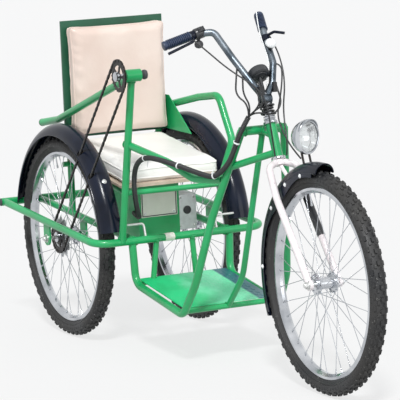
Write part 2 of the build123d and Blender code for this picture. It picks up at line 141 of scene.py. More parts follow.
def white_for_camera(tree, shaded, output, share):
    """Mix a plain white glow into a shader for what the camera, mirrors and glass see."""
    path = tree.nodes.new("ShaderNodeLightPath").outputs
    seen = math_node(tree, "MAXIMUM", path["Is Camera Ray"], path["Is Glossy Ray"])
    seen = math_node(tree, "MAXIMUM", seen, path["Is Transmission Ray"])
    glow = tree.nodes.new("ShaderNodeEmission")
    mix = tree.nodes.new("ShaderNodeMixShader")
    tree.links.new(math_node(tree, "MULTIPLY", seen, share), mix.inputs[0])
    tree.links.new(shaded, mix.inputs[1])
    tree.links.new(glow.outputs[0], mix.inputs[2])
    tree.links.new(mix.outputs[0], tree.nodes[output].inputs["Surface"])


floor_mesh = bpy.data.meshes.new("floor")
floor_corners = [(x * FLOOR_HALF, y * FLOOR_HALF, 0) for x, y in ((-1, -1), (1, -1), (1, 1), (-1, 1))]
floor_mesh.from_pydata(floor_corners, [], [(0, 1, 2, 3)])
floor = placed("floor", floor_mesh)
floor_finish = bpy.data.materials.new("floor")
floor_finish.use_nodes = True
floor_shader = floor_finish.node_tree.nodes["Principled BSDF"]
floor_shader.inputs["Base Color"].default_value = (0.62, 0.62, 0.62, 1)
floor_shader.inputs["Roughness"].default_value = 0.9
white_for_camera(floor_finish.node_tree, floor_shader.outputs[0], "Material Output", FLOOR_GLOW)
floor_mesh.materials.append(floor_finish)

world = bpy.data.worlds.new("sky")
bpy.context.scene.world = world
world.use_nodes = True
sky = world.node_tree.nodes["Background"]
sky.inputs["Color"].default_value = (0.93, 0.96, 1.0, 1)
sky.inputs["Strength"].default_value = 0.5
white_for_camera(world.node_tree, sky.outputs[0], "World Output", 1.0)


def sun(name, towards, strength, spread):
    lamp = bpy.data.lights.new(name, "SUN")
    lamp.energy = strength
    lamp.angle = radians(spread)
    placed(name, lamp).rotation_euler = Vector(towards).to_track_quat("-Z", "Y").to_euler()


sun("daylight", (-0.62, 0.36, -0.8), 2.7, 9)
sun("bounce", (-0.85, -0.15, -0.2), 0.65, 40)
bpy.context.scene.view_settings.view_transform = "Standard"
print("lights:", len(bpy.data.lights))

# %% [markdown]
# Every finish shares the same bones: a colour that wanders a little, a roughness, and a fine
# relief. They could be painted by hand, but a procedural finish has no edges or seams and needs
# no unwrapping. The wandering comes from noise in the object's own space, so it stays put when
# a wheel turns or the fork swings.

# %% A finish from a few values
finishes = {}


def noise_node(tree, scale, detail=3.0, rough=0.55):
    place = tree.nodes.new("ShaderNodeTexCoord")
    node = tree.nodes.new("ShaderNodeTexNoise")
    node.inputs["Scale"].default_value = scale
    node.inputs["Detail"].default_value = detail
    node.inputs["Roughness"].default_value = rough
    tree.links.new(place.outputs["Object"], node.inputs["Vector"])
    return node.outputs["Fac"]


def spread(tree, value, low, high, start=0.35, end=0.65):
    """Stretch a grey value from start..end to low..high."""
    node = tree.nodes.new("ShaderNodeMapRange")
    for name, number in (("From Min", start), ("From Max", end), ("To Min", low), ("To Max", high)):
        node.inputs[name].default_value = number
    tree.links.new(value, node.inputs["Value"])
    return node.outputs["Result"]


def blend_colour(tree, factor, first, second):
    """Mix two colours, each a plain value or another node's output."""
    node = tree.nodes.new("ShaderNodeMix")
    node.data_type = "RGBA"
    tree.links.new(factor, node.inputs["Factor"])
    for socket, colour in ((node.inputs[6], first), (node.inputs[7], second)):
        if isinstance(colour, tuple):
            socket.default_value = (*colour, 1)
        else:
            tree.links.new(colour, socket)
    return node.outputs[2]


def bump(tree, height, strength, depth, below=None):
    """Relief from a grey value, on top of the relief below it."""
    node = tree.nodes.new("ShaderNodeBump")
    node.inputs["Strength"].default_value = strength
    node.inputs["Distance"].default_value = depth
    tree.links.new(height, node.inputs["Height"])
    if below:
        tree.links.new(below, node.inputs["Normal"])
    return node.outputs["Normal"]


def finish(name, colour, other, roughness, patch=6.0, grain=400.0, relief=0.00005, metal=0.0,
           coat=0.0, gloss=0.5, specks=None, speck_level=0.72, speck_scale=55.0):
    """A finish whose colour wanders between two shades, with fine grain and sparse specks."""
    made = bpy.data.materials.new(name)
    made.use_nodes = True
    tree = made.node_tree
    shader = tree.nodes["Principled BSDF"].inputs
    wander = noise_node(tree, patch)
    shade = blend_colour(tree, spread(tree, wander, 0, 1), colour, other)
    if specks:
        dots = noise_node(tree, speck_scale, 4.0, 0.7)
        where = spread(tree, dots, 0, 1, speck_level, speck_level + 0.04)
        shade = blend_colour(tree, where, shade, specks)
    tree.links.new(shade, shader["Base Color"])
    fine = noise_node(tree, grain, 2.0)
    tree.links.new(spread(tree, wander, roughness * 0.8, min(1, roughness * 1.25)),
                   shader["Roughness"])
    shader["Metallic"].default_value = metal
    shader["Coat Weight"].default_value = coat
    shader["Specular IOR Level"].default_value = gloss
    shader["Coat Roughness"].default_value = 0.08
    tree.links.new(bump(tree, fine, 0.6, relief), shader["Normal"])
    finishes[name] = made
    return made


print("ready to mix finishes")

# %% [markdown]
# The frame is brushed with bright green enamel over steel tube. Hand-brushed enamel pools and
# thins, so its green drifts, and small chips show the undercoat. The mudguards are glossy
# plastic, the wheels bright plate, and the fork a pale silver-pink enamel with scuffs.

# %% Hard finishes
finish("green_paint", (0.006, 0.30, 0.085), (0.014, 0.40, 0.13), 0.34, patch=5, grain=160, relief=0.0002,
       coat=0.15, specks=(0.09, 0.11, 0.06), speck_level=0.73)
finish("dark_green_shell", (0.008, 0.07, 0.035), (0.014, 0.11, 0.055), 0.4, grain=200, relief=0.0001,
       specks=(0.2, 0.16, 0.1), speck_level=0.76)
finish("zinc_steel", (0.56, 0.57, 0.56), (0.68, 0.69, 0.68), 0.32, grain=300, metal=0.9,
       specks=(0.25, 0.13, 0.06), speck_level=0.74)
finish("galvanised_steel", (0.50, 0.52, 0.53), (0.66, 0.68, 0.69), 0.45, patch=40, grain=150, metal=0.75,
       specks=(0.3, 0.17, 0.09), speck_level=0.75)
finish("plywood", (0.46, 0.37, 0.29), (0.58, 0.48, 0.39), 0.7, patch=18, grain=90, relief=0.0003)
finish("battery_case", (0.03, 0.03, 0.035), (0.05, 0.05, 0.055), 0.5, grain=250, relief=0.0001)
finish("plate_cream", (0.80, 0.78, 0.70), (0.88, 0.86, 0.79), 0.35, patch=14, specks=(0.34, 0.29, 0.22),
       speck_level=0.74)
finish("black_plastic", (0.003, 0.005, 0.012), (0.008, 0.012, 0.026), 0.2, patch=9, grain=60, relief=0.0001,
       gloss=0.22)
finish("black_steel", (0.012, 0.012, 0.013), (0.035, 0.03, 0.027), 0.38, patch=30, metal=0.6,
       specks=(0.16, 0.08, 0.04), speck_level=0.7)
finish("chrome", (0.40, 0.42, 0.45), (0.62, 0.64, 0.67), 0.17, patch=12, grain=90, relief=0.00001,
       metal=1.0, specks=(0.30, 0.22, 0.16), speck_level=0.77)
finish("dark_chrome", (0.07, 0.09, 0.11), (0.20, 0.23, 0.26), 0.36, patch=20, grain=90, relief=0.00001,
       metal=1.0, specks=(0.5, 0.52, 0.54), speck_level=0.72)
finish("pale_paint", (0.80, 0.73, 0.74), (0.88, 0.83, 0.84), 0.28, patch=16, grain=160, relief=0.0001,
       coat=0.3, specks=(0.42, 0.22, 0.26), speck_level=0.66, speck_scale=70)
finish("grip_rubber", (0.010, 0.018, 0.045), (0.03, 0.05, 0.10), 0.34, patch=22, gloss=0.4)
finish("black_conduit", (0.010, 0.011, 0.012), (0.022, 0.024, 0.026), 0.42, patch=14, grain=200)
finish("dark_case", (0.02, 0.022, 0.025), (0.04, 0.043, 0.047), 0.3, grain=300)
finish("white_tie", (0.82, 0.84, 0.84), (0.9, 0.92, 0.92), 0.35)
finish("weld", (0.010, 0.26, 0.08), (0.03, 0.34, 0.12), 0.38, patch=90, grain=260, relief=0.0004)
finish("dial_white", (0.84, 0.85, 0.84), (0.9, 0.9, 0.89), 0.3)
finish("lamp_chrome", (0.30, 0.33, 0.36), (0.55, 0.58, 0.60), 0.16, patch=14, metal=1.0)
finish("reflector", (0.86, 0.87, 0.88), (0.93, 0.94, 0.95), 0.08, patch=20, metal=1.0)
glass = finish("lens_glass", (0.95, 0.97, 0.97), (0.98, 0.99, 0.99), 0.05, patch=8)
glass_shader = glass.node_tree.nodes["Principled BSDF"].inputs
glass_shader["Transmission Weight"].default_value = 0.92
glass_shader["IOR"].default_value = 1.45
print("hard finishes:", ", ".join(sorted(finishes)))

# %% [markdown]
# The chair's vinyl has a leather-like grain: small pebbles with creases between them. A Voronoi
# texture gives pebbles directly, where noise alone would look like sand. The grain is only half
# a millimetre deep, so it is relief in the finish and not in the mesh.

# %% Vinyl
vinyl = finish("cream_vinyl", (0.69, 0.55, 0.48), (0.76, 0.64, 0.57), 0.42, patch=5, grain=500, relief=0.0001)
vinyl_tree = vinyl.node_tree
vinyl_shader = vinyl_tree.nodes["Principled BSDF"]
pebbles = vinyl_tree.nodes.new("ShaderNodeTexVoronoi")
pebbles.inputs["Scale"].default_value = 420
vinyl_place = vinyl_tree.nodes.new("ShaderNodeTexCoord")
vinyl_tree.links.new(vinyl_place.outputs["Object"], pebbles.inputs["Vector"])
crease = noise_node(vinyl_tree, 26, 3.0)
grain = bump(vinyl_tree, pebbles.outputs["Distance"], 0.5, 0.0004)
creased = bump(vinyl_tree, crease, 0.35, 0.004, grain)
vinyl_tree.links.new(creased, vinyl_shader.inputs["Normal"])
vinyl_shader.inputs["Sheen Weight"].default_value = 0.15
seat_vinyl = vinyl.copy()
seat_vinyl.name = "white_vinyl"
finishes["white_vinyl"] = seat_vinyl
for node in seat_vinyl.node_tree.nodes:
    if node.bl_idname == "ShaderNodeMix":
        node.inputs[6].default_value = (0.86, 0.84, 0.80, 1)
        node.inputs[7].default_value = (0.92, 0.91, 0.88, 1)
print("vinyl grain at scale", pebbles.inputs["Scale"].default_value)

# %% [markdown]
# Tyre rubber is black when new and goes grey with road dust, most of all on the tread blocks.
# The dust is a pale grey that noise lays in specks.

# %% Rubber
finish("tyre", (0.011, 0.012, 0.014), (0.034, 0.033, 0.032), 0.62, patch=9, grain=220, relief=0.0003,
       specks=(0.15, 0.15, 0.14), speck_level=0.63, speck_scale=120)

# %% [markdown]
# The footboard is checker plate: its right half is worn smooth and bright, and its left half
# keeps its pattern under thin paint with pale scuffs. The paint fades along the board's width,
# so its finish reads the place across the machine and lets noise make that edge ragged.

# %% Footboard finish
board = finish("checker_plate", (0.010, 0.50, 0.17), (0.02, 0.62, 0.23), 0.36, patch=9, grain=120,
               relief=0.0003, coat=0.1)
board_tree = board.node_tree
board_shader = board_tree.nodes["Principled BSDF"]
even_green = board_shader.inputs["Base Color"].links[0].from_socket
board_place = board_tree.nodes.new("ShaderNodeTexCoord")
board_axes = board_tree.nodes.new("ShaderNodeSeparateXYZ")
board_tree.links.new(board_place.outputs["Object"], board_axes.inputs[0])
scuff = noise_node(board_tree, 14, 5.0, 0.7)
ragged = board_tree.nodes.new("ShaderNodeMath")
ragged.operation = "MULTIPLY_ADD"
ragged.inputs[1].default_value = 0.22
board_tree.links.new(scuff, ragged.inputs[0])
board_tree.links.new(board_axes.outputs["Y"], ragged.inputs[2])
worn = spread(board_tree, ragged.outputs[0], 0, 0.75, 0.04, 0.12)
pale = blend_colour(board_tree, worn, even_green, (0.22, 0.74, 0.47))
# Beyond about 104 to 112 mm left of the middle the board turns a dark blue-grey.
blue_grey_side = spread(board_tree, board_axes.outputs["Y"], 0, 1, 0.104, 0.112)
board_tree.links.new(blend_colour(board_tree, blue_grey_side, pale, (0.03, 0.14, 0.17)),
                     board_shader.inputs["Base Color"])
print("footboard finish ready")

# %% [markdown]
# Now every piece that came with the frame takes the finish named in its record. This covers
# the pieces that stay as they are, and the ones that a modelled piece replaces further down.

# %% Dress the frame's pieces
slot_of = {part["node"]: part["material_slot"] for part in frame["record"]["subparts"]}
DARK_PLATED = {"handlebar"}
for node_name, slot_name in slot_of.items():
    data = frame["nodes"][node_name].data
    look = "dark_chrome" if node_name in DARK_PLATED else slot_name
    look = finishes.get(look, finishes["chrome"])
    data.materials.clear()
    data.materials.append(look)
print("dressed", len(slot_of), "pieces")

# %% [markdown]
# Most small parts are turned or swept, so two helpers make nearly all of them. `turned` spins a
# profile round an axis, and `sweep` draws a round section along a line of points. Both give
# plain vertices and faces, which `piece` turns into an object that rides on a body.

# %% Mesh helpers
def square_to(direction):
    """Two directions square to the given one and to each other."""
    direction = direction.normalized()
    first = direction.orthogonal().normalized()
    return first, direction.cross(first)


def net(rows, columns, round_rows=False, round_columns=False):
    """Faces between rows of points that lie one after the other in a list."""
    faces = []
    for i in range(rows if round_rows else rows - 1):
        here, ahead = i * columns, (i + 1) % rows * columns
        for k in range(columns if round_columns else columns - 1):
            m = (k + 1) % columns
            faces.append((here + k, here + m, ahead + m, ahead + k))
    return faces


def plate_faces(count):
    """The faces of a plate whose two sides have count points each, one side after the other."""
    faces = [tuple(reversed(range(count))), tuple(range(count, 2 * count))]
    return faces + net(2, count, round_columns=True)


def turned(profile, base, axis, steps=48, closed=True):
    """Spin (radius, height) points, in millimetres, round an axis through base."""
    axis = axis.normalized()
    first, second = square_to(axis)
    verts = []
    for i in range(steps):
        turn = 2 * pi * i / steps
        out = first * cos(turn) + second * sin(turn)
        verts += [base + out * (r * MM) + axis * (h * MM) for r, h in profile]
    return verts, net(steps, len(profile), True, closed)


def round_axle(turn):
    """The outward and the onward direction at an angle round an axle."""
    return Vector((cos(turn), 0, sin(turn))), Vector((-sin(turn), 0, cos(turn)))


def sweep(points, radii, sides=12, closed=False):
    """Draw a round section along points; radii is one number in millimetres, or a list."""
    count = len(points)
    radii = radii if isinstance(radii, list) else [radii] * count
    verts = []
    first = None
    for i, here in enumerate(points):
        ahead = points[(i + 1) % count] if closed or i < count - 1 else here
        behind = points[i - 1] if closed or i > 0 else here
        direction = (ahead - behind).normalized()
        if first is None:
            first = direction.orthogonal().normalized()
        first = (first - direction * first.dot(direction)).normalized()
        second = direction.cross(first)
        for k in range(sides):
            turn = 2 * pi * k / sides
            verts.append(here + (first * cos(turn) + second * sin(turn)) * (radii[i] * MM))
    faces = net(count, sides, closed, True)
    if not closed:
        faces += [tuple(reversed(range(sides))), tuple(range((count - 1) * sides, count * sides))]
    return verts, faces


def brick(centre, axes, size, top=1.0):
    """A block with its own axes, sized in millimetres; its far face is scaled by top."""
    a, b, c = (axis * (length * MM / 2) for axis, length in zip(axes, size))
    verts = []
    for k, scale in ((-1, 1.0), (1, top)):
        for i, j in ((-1, -1), (1, -1), (1, 1), (-1, 1)):
            verts.append(centre + a * (i * scale) + b * (j * scale) + c * k)
    return verts, plate_faces(4)


def joined(parts):
    verts, faces = [], []
    for part_verts, part_faces in parts:
        shift = len(verts)
        verts += part_verts
        faces += [tuple(v + shift for v in face) for face in part_faces]
    return verts, faces


def piece(name, shape, look, body, smooth=35, ties=(), bend=None):
    """An object from a shape: finished, riding on its body, standing for the nodes in ties.

    bend is (other body, start, end); a piece given it rides on no body and stays where it is,
    and the other body, start and end are not used.
    """
    data = bpy.data.meshes.new(name)
    data.from_pydata([tuple(v) for v in shape[0]], [], shape[1])
    edit = bmesh.new()
    edit.from_mesh(data)
    bmesh.ops.recalc_face_normals(edit, faces=edit.faces)
    for face in edit.faces:
        face.smooth = True
    for edge in edit.edges:
        if len(edge.link_faces) == 2 and edge.calc_face_angle() > radians(smooth):
            edge.smooth = False
    edit.to_mesh(data)
    edit.free()
    data.materials.append(finishes[look])
    made = placed(name, data)
    if bend:
        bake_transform(made)
    else:
        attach(made, body)
    if ties:
        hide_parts(*ties)
    return made


print("helpers: turned, sweep, brick")

# %% [markdown]
# The tyres have a chunky all-terrain tread. A displacement texture could raise it, but blocks
# with real edges catch the light as moulded rubber does. A carcass is turned from a section
# with ribs on its walls, and then each block is a tapered brick placed round it.

# %% Tyres
WHEELS = ("front_wheel", "left_wheel", "right_wheel")
TYRE_R = front_size.x / 2 / MM
TREAD_DEPTH = 5.5
BLOCKS_ROUND = 60
CARCASS = [(289, 12), (296, 17), (299, 21.5), (301, 20.8), (303, 23.5), (311, 25.6), (314, 25.2),
           (317, 25.2), (323, 22), (328, 15), (TYRE_R - TREAD_DEPTH, 7)]
# Each row of blocks: place across, width, length, phase, radius, tilt in degrees
ROWS = [(0.0, 9.0, 14.0, 0.0, TYRE_R - 3, 0), (10.5, 7.5, 12.0, 0.5, TYRE_R - 5, 22),
        (19.5, 7.0, 17.0, 0.0, TYRE_R - 10.5, 52)]


def tyre_shape(hub):
    section = CARCASS + [(r, -side) for r, side in reversed(CARCASS)]
    parts = [turned(section, hub, ACROSS, 120)]
    for side, width, length, phase, radius, tilt in ROWS:
        for way in ((1,) if side == 0 else (1, -1)):
            for i in range(BLOCKS_ROUND):
                out, along = round_axle(2 * pi * (i + phase + (0.25 if way < 0 else 0)) / BLOCKS_ROUND)
                lean = radians(tilt) * way
                normal = out * cos(lean) + ACROSS * sin(lean)
                centre = hub + (out * radius + ACROSS * way * side) * MM
                axes = (along, along.cross(normal), normal)
                parts.append(brick(centre, axes, (length, width, TREAD_DEPTH), 0.82))
    for way in (1, -1):
        for i in range(BLOCKS_ROUND * 2):
            out, along = round_axle(pi * (i + 0.5) / BLOCKS_ROUND)
            centre = hub + (out * 313 + ACROSS * way * 25.2) * MM
            parts.append(brick(centre, (along, out, ACROSS * way), (3, 12, 2.2), 0.6))
    return joined(parts)


for wheel in WHEELS:
    hub, _ = middle(wheel + "_tyre")
    tyre = piece(wheel + "_tread", tyre_shape(hub), "tyre", wheel, ties=[wheel + "_tyre"], smooth=28)
    print(wheel, "tyre faces", len(tyre.data.polygons))

# %% [markdown]
# Each spoke ends in a nipple at the rim, and one valve stands between two of them. They are
# small, yet they are what makes a bicycle rim read as one. A bright disc with a lobed edge
# guards the driven wheel's spokes from the chain. The nipples follow the spokes'
# lean, which is worked out from the flange's radius as a wheel builder would.

# %% Nipples, valve and spoke guard
SPOKES = 36
FLANGE_R, FLANGE_Y, SPOKE_SWEEP = 27, 28, 62
RIM_INNER_R = 270


def spoke_ends(hub, i):
    side = 1 if i % 2 == 0 else -1
    lean = 1 if (i // 2) % 2 == 0 else -1
    at_rim = 2 * pi * i / SPOKES
    at_hub = at_rim + lean * radians(SPOKE_SWEEP)
    inner = round_axle(at_hub)[0] * FLANGE_R + ACROSS * side * (FLANGE_Y + lean * 2.8)
    outer = round_axle(at_rim)[0] * RIM_INNER_R + ACROSS * side * 2
    return hub + inner * MM, hub + outer * MM


NIPPLE = [(0, -14), (1.5, -14), (1.9, -13), (1.9, -5), (2.6, -4), (3.4, 0), (2.4, 1.5), (0, 1.5)]
SPOKE_HEAD = [(0, -2.4), (1.8, -2.2), (2.4, -0.8), (2.4, 0.8), (1.8, 2.2), (0, 2.4)]
VALVE = [(0, -38), (2.8, -38), (3.2, -36), (3.2, -27), (2.2, -26), (2.2, 0), (3.8, 1), (3.8, 3), (0, 3)]

for wheel in WHEELS:
    hub, _ = middle(wheel + "_tyre")
    fittings = []
    for i in range(SPOKES):
        inner, outer = spoke_ends(hub, i)
        fittings.append(turned(NIPPLE, outer, outer - inner, 8, False))
        fittings.append(turned(SPOKE_HEAD, inner, ACROSS, 8, False))
    out, _ = round_axle(2 * pi * 10.5 / SPOKES)
    fittings.append(turned(VALVE, hub + out * RIM_INNER_R * MM, out, 14, False))
    piece(wheel + "_fittings", joined(fittings), "chrome", wheel)
LOBES, LOBE_STEPS = 12, 8


def flat_ring(centre, count, outer_radius, inner_radius, half_thickness):
    """A flat ring round an axle whose outer edge follows outer_radius(turn)."""
    verts = []
    for way, outer in ((-1, True), (-1, False), (1, False), (1, True)):
        for i in range(count):
            turn = 2 * pi * i / count
            reach = outer_radius(turn) if outer else inner_radius
            verts.append(centre + (round_axle(turn)[0] * reach + ACROSS * way * half_thickness) * MM)
    return verts, net(4, count, True, True)


disc_at = middle("right_wheel_tyre")[0] - ACROSS * 23 * MM
disc = flat_ring(disc_at, LOBES * LOBE_STEPS, lambda turn: 56 + 14 * abs(cos(LOBES * turn / 2)), 33, 0.5)
piece("spoke_guard", disc, "galvanised_steel", "right_wheel")
print("nipples on each wheel:", SPOKES)

# %% [markdown]
# Outside the plates and the fork, each axle ends in a washer, a chamfered nut and a rounded
# stub. They belong to the body that carries the axle, so they stay still while the wheel turns.

# %% Axle washers and nuts
def hexagon(across, thickness, base, axis):
    """A chamfered hexagon nut that rises from base along axis."""
    flat, corner = across * 0.54, across * 0.577
    profile = [(0, 0), (flat, 0), (corner, 0.15 * thickness), (corner, 0.85 * thickness),
               (flat, thickness), (0, thickness)]
    return turned(profile, base, axis, 6, False)


def washer(radius, thickness, base, axis):
    profile = [(0, 0), (radius, 0), (radius, thickness * 0.7), (radius - 0.6, thickness), (0, thickness)]
    return turned(profile, base, axis, 28, False)


def dome(radius, height, base, axis):
    profile = [(0, 0)] + [(radius * cos(a * pi / 10), height * sin(a * pi / 10)) for a in range(6)]
    return turned(profile, base, axis, 16, False)


def bolt(at, axis, ring, thickness, head, height):
    """A washer with a domed head on it."""
    return [washer(ring, thickness, at, axis), dome(head, height, at + axis * thickness * MM, axis)]


def axle_end(name, at, body):
    """Outer nut, washer and axle stub beyond a plate; at is (x, y, z) of the plate's face."""
    side = ACROSS * (1 if at[1] > 0 else -1)
    base = spot(*at)
    shape = joined([washer(14, 1.6, base, side), hexagon(17, 9, base + side * 1.6 * MM, side),
                    dome(7.5, 6, base + side * 10 * MM, side)])
    piece(name, shape, "zinc_steel", body, smooth=30)


WHEEL_R = 337
for side, word in ((1, "left"), (-1, "right")):
    axle_end("front_nut_" + word, (1345, side * 55, WHEEL_R), "steering")
    axle_end("rear_nut_" + word, (0, side * 309, WHEEL_R), "frame")
print("axle ends:", 4)

# %% [markdown]
# The seat and back are foam under vinyl: full in the middle, pulled in at the seams. A box
# with rounded edges never looks stuffed, so the cover is blown up as cloth for a moment. The
# slab is remeshed into even squares, the cloth runs with pressure and no gravity, and how far
# each point moved is capped, so it keeps to the seat's real size.

# %% Cushion maker
VOXEL = 0.0065
CLOTH_FRAMES = 16


def slab_mesh(name, outline, half_width):
    """A closed slab: outline in (x, z) millimetres, drawn across from one side to the other."""
    verts = [spot(x, side * half_width, z) for side in (-1, 1) for x, z in outline]
    data = bpy.data.meshes.new(name)
    data.from_pydata([tuple(v) for v in verts], [], plate_faces(len(outline)))
    return placed(name, data)


def settled(made):
    """Turn an object's modifiers into its mesh."""
    graph = bpy.context.evaluated_depsgraph_get()
    data = bpy.data.meshes.new_from_object(made.evaluated_get(graph))
    made.modifiers.clear()
    made.data = data
    return made


def stuff(made, pressure, cap):
    """Round, remesh and blow up a slab; no point moves further than cap metres."""
    bevel = made.modifiers.new("edge", "BEVEL")
    bevel.width = 0.012
    bevel.segments = 3
    mesh_again = made.modifiers.new("squares", "REMESH")
    mesh_again.mode = "VOXEL"
    mesh_again.voxel_size = VOXEL
    settled(made)
    start = [v.co.copy() for v in made.data.vertices]
    cloth = made.modifiers.new("cover", "CLOTH")
    cloth.settings.quality = 5
    cloth.settings.mass = 0.3
    cloth.settings.use_pressure = True
    cloth.settings.uniform_pressure_force = pressure
    cloth.settings.tension_stiffness = 15
    cloth.settings.compression_stiffness = 8
    cloth.settings.bending_stiffness = 0.4
    cloth.settings.effector_weights.gravity = 0
    cloth.collision_settings.use_collision = False
    for moment in range(1, CLOTH_FRAMES + 1):
        bpy.context.scene.frame_set(moment)
    settled(made)
    bpy.context.scene.frame_set(1)
    for vert, before in zip(made.data.vertices, start):
        moved = vert.co - before
        if moved.length > cap:
            vert.co = before + moved.normalized() * cap
    return made


def dressed_pad(made, node, look="cream_vinyl"):
    smooth = made.modifiers.new("even", "SMOOTH")
    smooth.factor = 0.6
    smooth.iterations = 6
    finer = made.modifiers.new("finer", "SUBSURF")
    finer.levels = 1
    finer.render_levels = 1
    settled(made)
    for face in made.data.polygons:
        face.use_smooth = True
    made.data.materials.clear()
    made.data.materials.append(finishes[look])
    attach(made, "frame")
    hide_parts(node)
    return made


# %% [markdown]
# The seat slopes up towards the back, and the back stands straight. Their slabs start a little
# inside the frame's own cushions, because the cloth swells. The back's cover is loose on its
# right edge, where short wrinkles run in from the seam, so those points are pushed in waves.

# %% Seat and back cushions
SWELL = 9
PAD_HALF_WIDTH = 188 - SWELL
PRESSURE = 3.5
SEAT_OUTLINE = [(-76 + SWELL, 590 + 4), (352 - SWELL, 538 + 4), (352 - SWELL, 600 - 6), (-76 + 5, 652 - 2)]
seat_pad = slab_mesh("seat_pad", SEAT_OUTLINE, PAD_HALF_WIDTH)
stuff(seat_pad, PRESSURE, 0.009)
dressed_pad(seat_pad, "seat_cushion", "white_vinyl")
print("seat faces", len(seat_pad.data.polygons))

BACK_OUTLINE = [(-70, 662 + 1), (-16 - 6, 662 + 1), (-16 - 6, 1048 - SWELL), (-70, 1048 - SWELL)]
back_pad = slab_mesh("back_pad", BACK_OUTLINE, PAD_HALF_WIDTH)
stuff(back_pad, PRESSURE, 0.010)
WRINKLE_GAP, WRINKLE_HEIGHT = 0.035, 0.0035
LOOSE_FROM, LOOSE_TO = spot(0, -130, 662), spot(0, -188, 1048)
for vert in back_pad.data.vertices:
    share = (vert.co.y - LOOSE_FROM.y) / (LOOSE_TO.y - LOOSE_FROM.y)
    if share > 0:
        wave = sin(2 * pi * vert.co.z / WRINKLE_GAP + 9 * noise.noise(vert.co * 7))
        vert.co.x += WRINKLE_HEIGHT * share * wave
dressed_pad(back_pad, "back_cushion")
print("back faces", len(back_pad.data.polygons))

# %% [markdown]
# Piping closes the cushions' seams: a thin cord sewn into the edge. It could be part of the
# mesh, but remeshing would melt it, so it is swept afterwards round the edge of each pad.

# %% Piping
PIPING_R = 2.6
SIDE_PIECES = 24


def rounded_loop(half_a, half_b, corner, centre, a_axis, b_axis):
    """Points round a rectangle with round corners and evenly cut sides."""
    points = []
    for ca, cb, start in ((1, 1, 0), (-1, 1, 90), (-1, -1, 180), (1, -1, 270)):
        for i in range(9):
            turn = radians(start + 90 * i / 8)
            points.append(centre + a_axis * (ca * (half_a - corner) + corner * cos(turn))
                          + b_axis * (cb * (half_b - corner) + corner * sin(turn)))
    closed = points + points[:1]
    return [a.lerp(b, i / SIDE_PIECES) for a, b in zip(closed, closed[1:])
            for i in range(SIDE_PIECES if (b - a).length > corner else 1)]


def upward(direction):
    """The direction or its opposite, whichever points up."""
    return direction if direction.z > 0 else -direction


def hugging(pad, loop):
    """The loop's points, each moved to the nearest place on the pad."""
    return [pad.closest_point_on_mesh(point)[1] for point in loop]


slope = Vector((352 + 76, 0, 538 - 590)).normalized()
seat_up = upward(ACROSS.cross(slope))
seat_length = sqrt(428 ** 2 + 52 ** 2)
seat_loops = [rounded_loop((seat_length / 2 - 5) * MM, 183 * MM, 18 * MM,
                           spot(138, 0, 564) + seat_up * lift * MM, slope, ACROSS) for lift in (12, 50)]
back_loops = [rounded_loop(189 * MM, 188 * MM, 20 * MM, spot(x, 0, 855), UP, ACROSS) for x in (-62, -28)]
for name, pad, loops, look in (("seat_piping", seat_pad, seat_loops, "white_vinyl"),
                               ("back_piping", back_pad, back_loops, "cream_vinyl")):
    pipes = [sweep(hugging(pad, loop), PIPING_R, 8, closed=True) for loop in loops]
    piece(name, joined(pipes), look, "frame", smooth=60)
print("piping loops:", 4)

# %% [markdown]
# Grips are soft plastic sleeves with rings and a flange at the inner end. Rings could be
# relief in the finish, but their scalloped outline shows against the light, so they are turned.

# %% Grips
RIGHT_RUN = (spot(880, -160, 1062), spot(872, -262, 1033))
LEFT_RUN = (spot(905, 62, 1050), spot(846, 78, 1100))


def grip_profile(length, radius):
    """Inner flange, a row of rings, and a rounded end."""
    points = [(0, 0), (radius, 0), (radius, 3), (radius - 3, 5)]
    rings = int((length - 14) / 6)
    for i in range(rings):
        at = 6 + i * 6
        points += [(radius - 3, at), (radius - 0.6, at + 1.4)]
        points += [(radius - 0.6, at + 3.8), (radius - 3, at + 5.2)]
    points += [(radius - 1, length - 6), (radius - 2, length - 1.5)]
    return points + [(radius * 0.5, length), (0, length)]


shapes = []
for (near, far), end_share in ((RIGHT_RUN, 1.06), (LEFT_RUN, 1.07)):
    line = far - near
    start = near + line * 0.2
    length = line.length * (end_share - 0.2) / MM
    shapes.append(turned(grip_profile(length, 16), start, line, 28, False))
piece("grip_sleeves", joined(shapes), "grip_rubber", "steering", ties=["grips"])
print("grips:", len(shapes))

# %% [markdown]
# A chain is a row of side plates on rollers. One link is made twice over, an outer pair of
# plates and an inner pair, and they alternate along the path round both sprockets. The links
# are half an inch apart, as on every bicycle.

# %% Chain
CHAIN_Y = -266
PITCH_R = 51.5
CRANK = (536, 916)
low_hub, high_hub = spot(0, CHAIN_Y, WHEEL_R), spot(CRANK[0], CHAIN_Y, CRANK[1])
run = (high_hub - low_hub).normalized()
run_side = Vector((run.z, 0, -run.x))
run_length = (high_hub - low_hub).length
bend_length = pi * PITCH_R * MM


def on_chain(distance):
    """The place and heading at a distance along the chain's path."""
    distance %= 2 * (run_length + bend_length)
    if distance < run_length:
        return low_hub + run_side * PITCH_R * MM + run * distance, run
    distance -= run_length
    if distance < bend_length:
        turn = distance / (PITCH_R * MM)
        out = run_side * cos(turn) + run * sin(turn)
        return high_hub + out * PITCH_R * MM, run * cos(turn) - run_side * sin(turn)
    distance -= bend_length
    if distance < run_length:
        return high_hub - run_side * PITCH_R * MM - run * distance, -run
    turn = (distance - run_length) / (PITCH_R * MM)
    out = -run_side * cos(turn) - run * sin(turn)
    return low_hub + out * PITCH_R * MM, -run * cos(turn) + run_side * sin(turn)


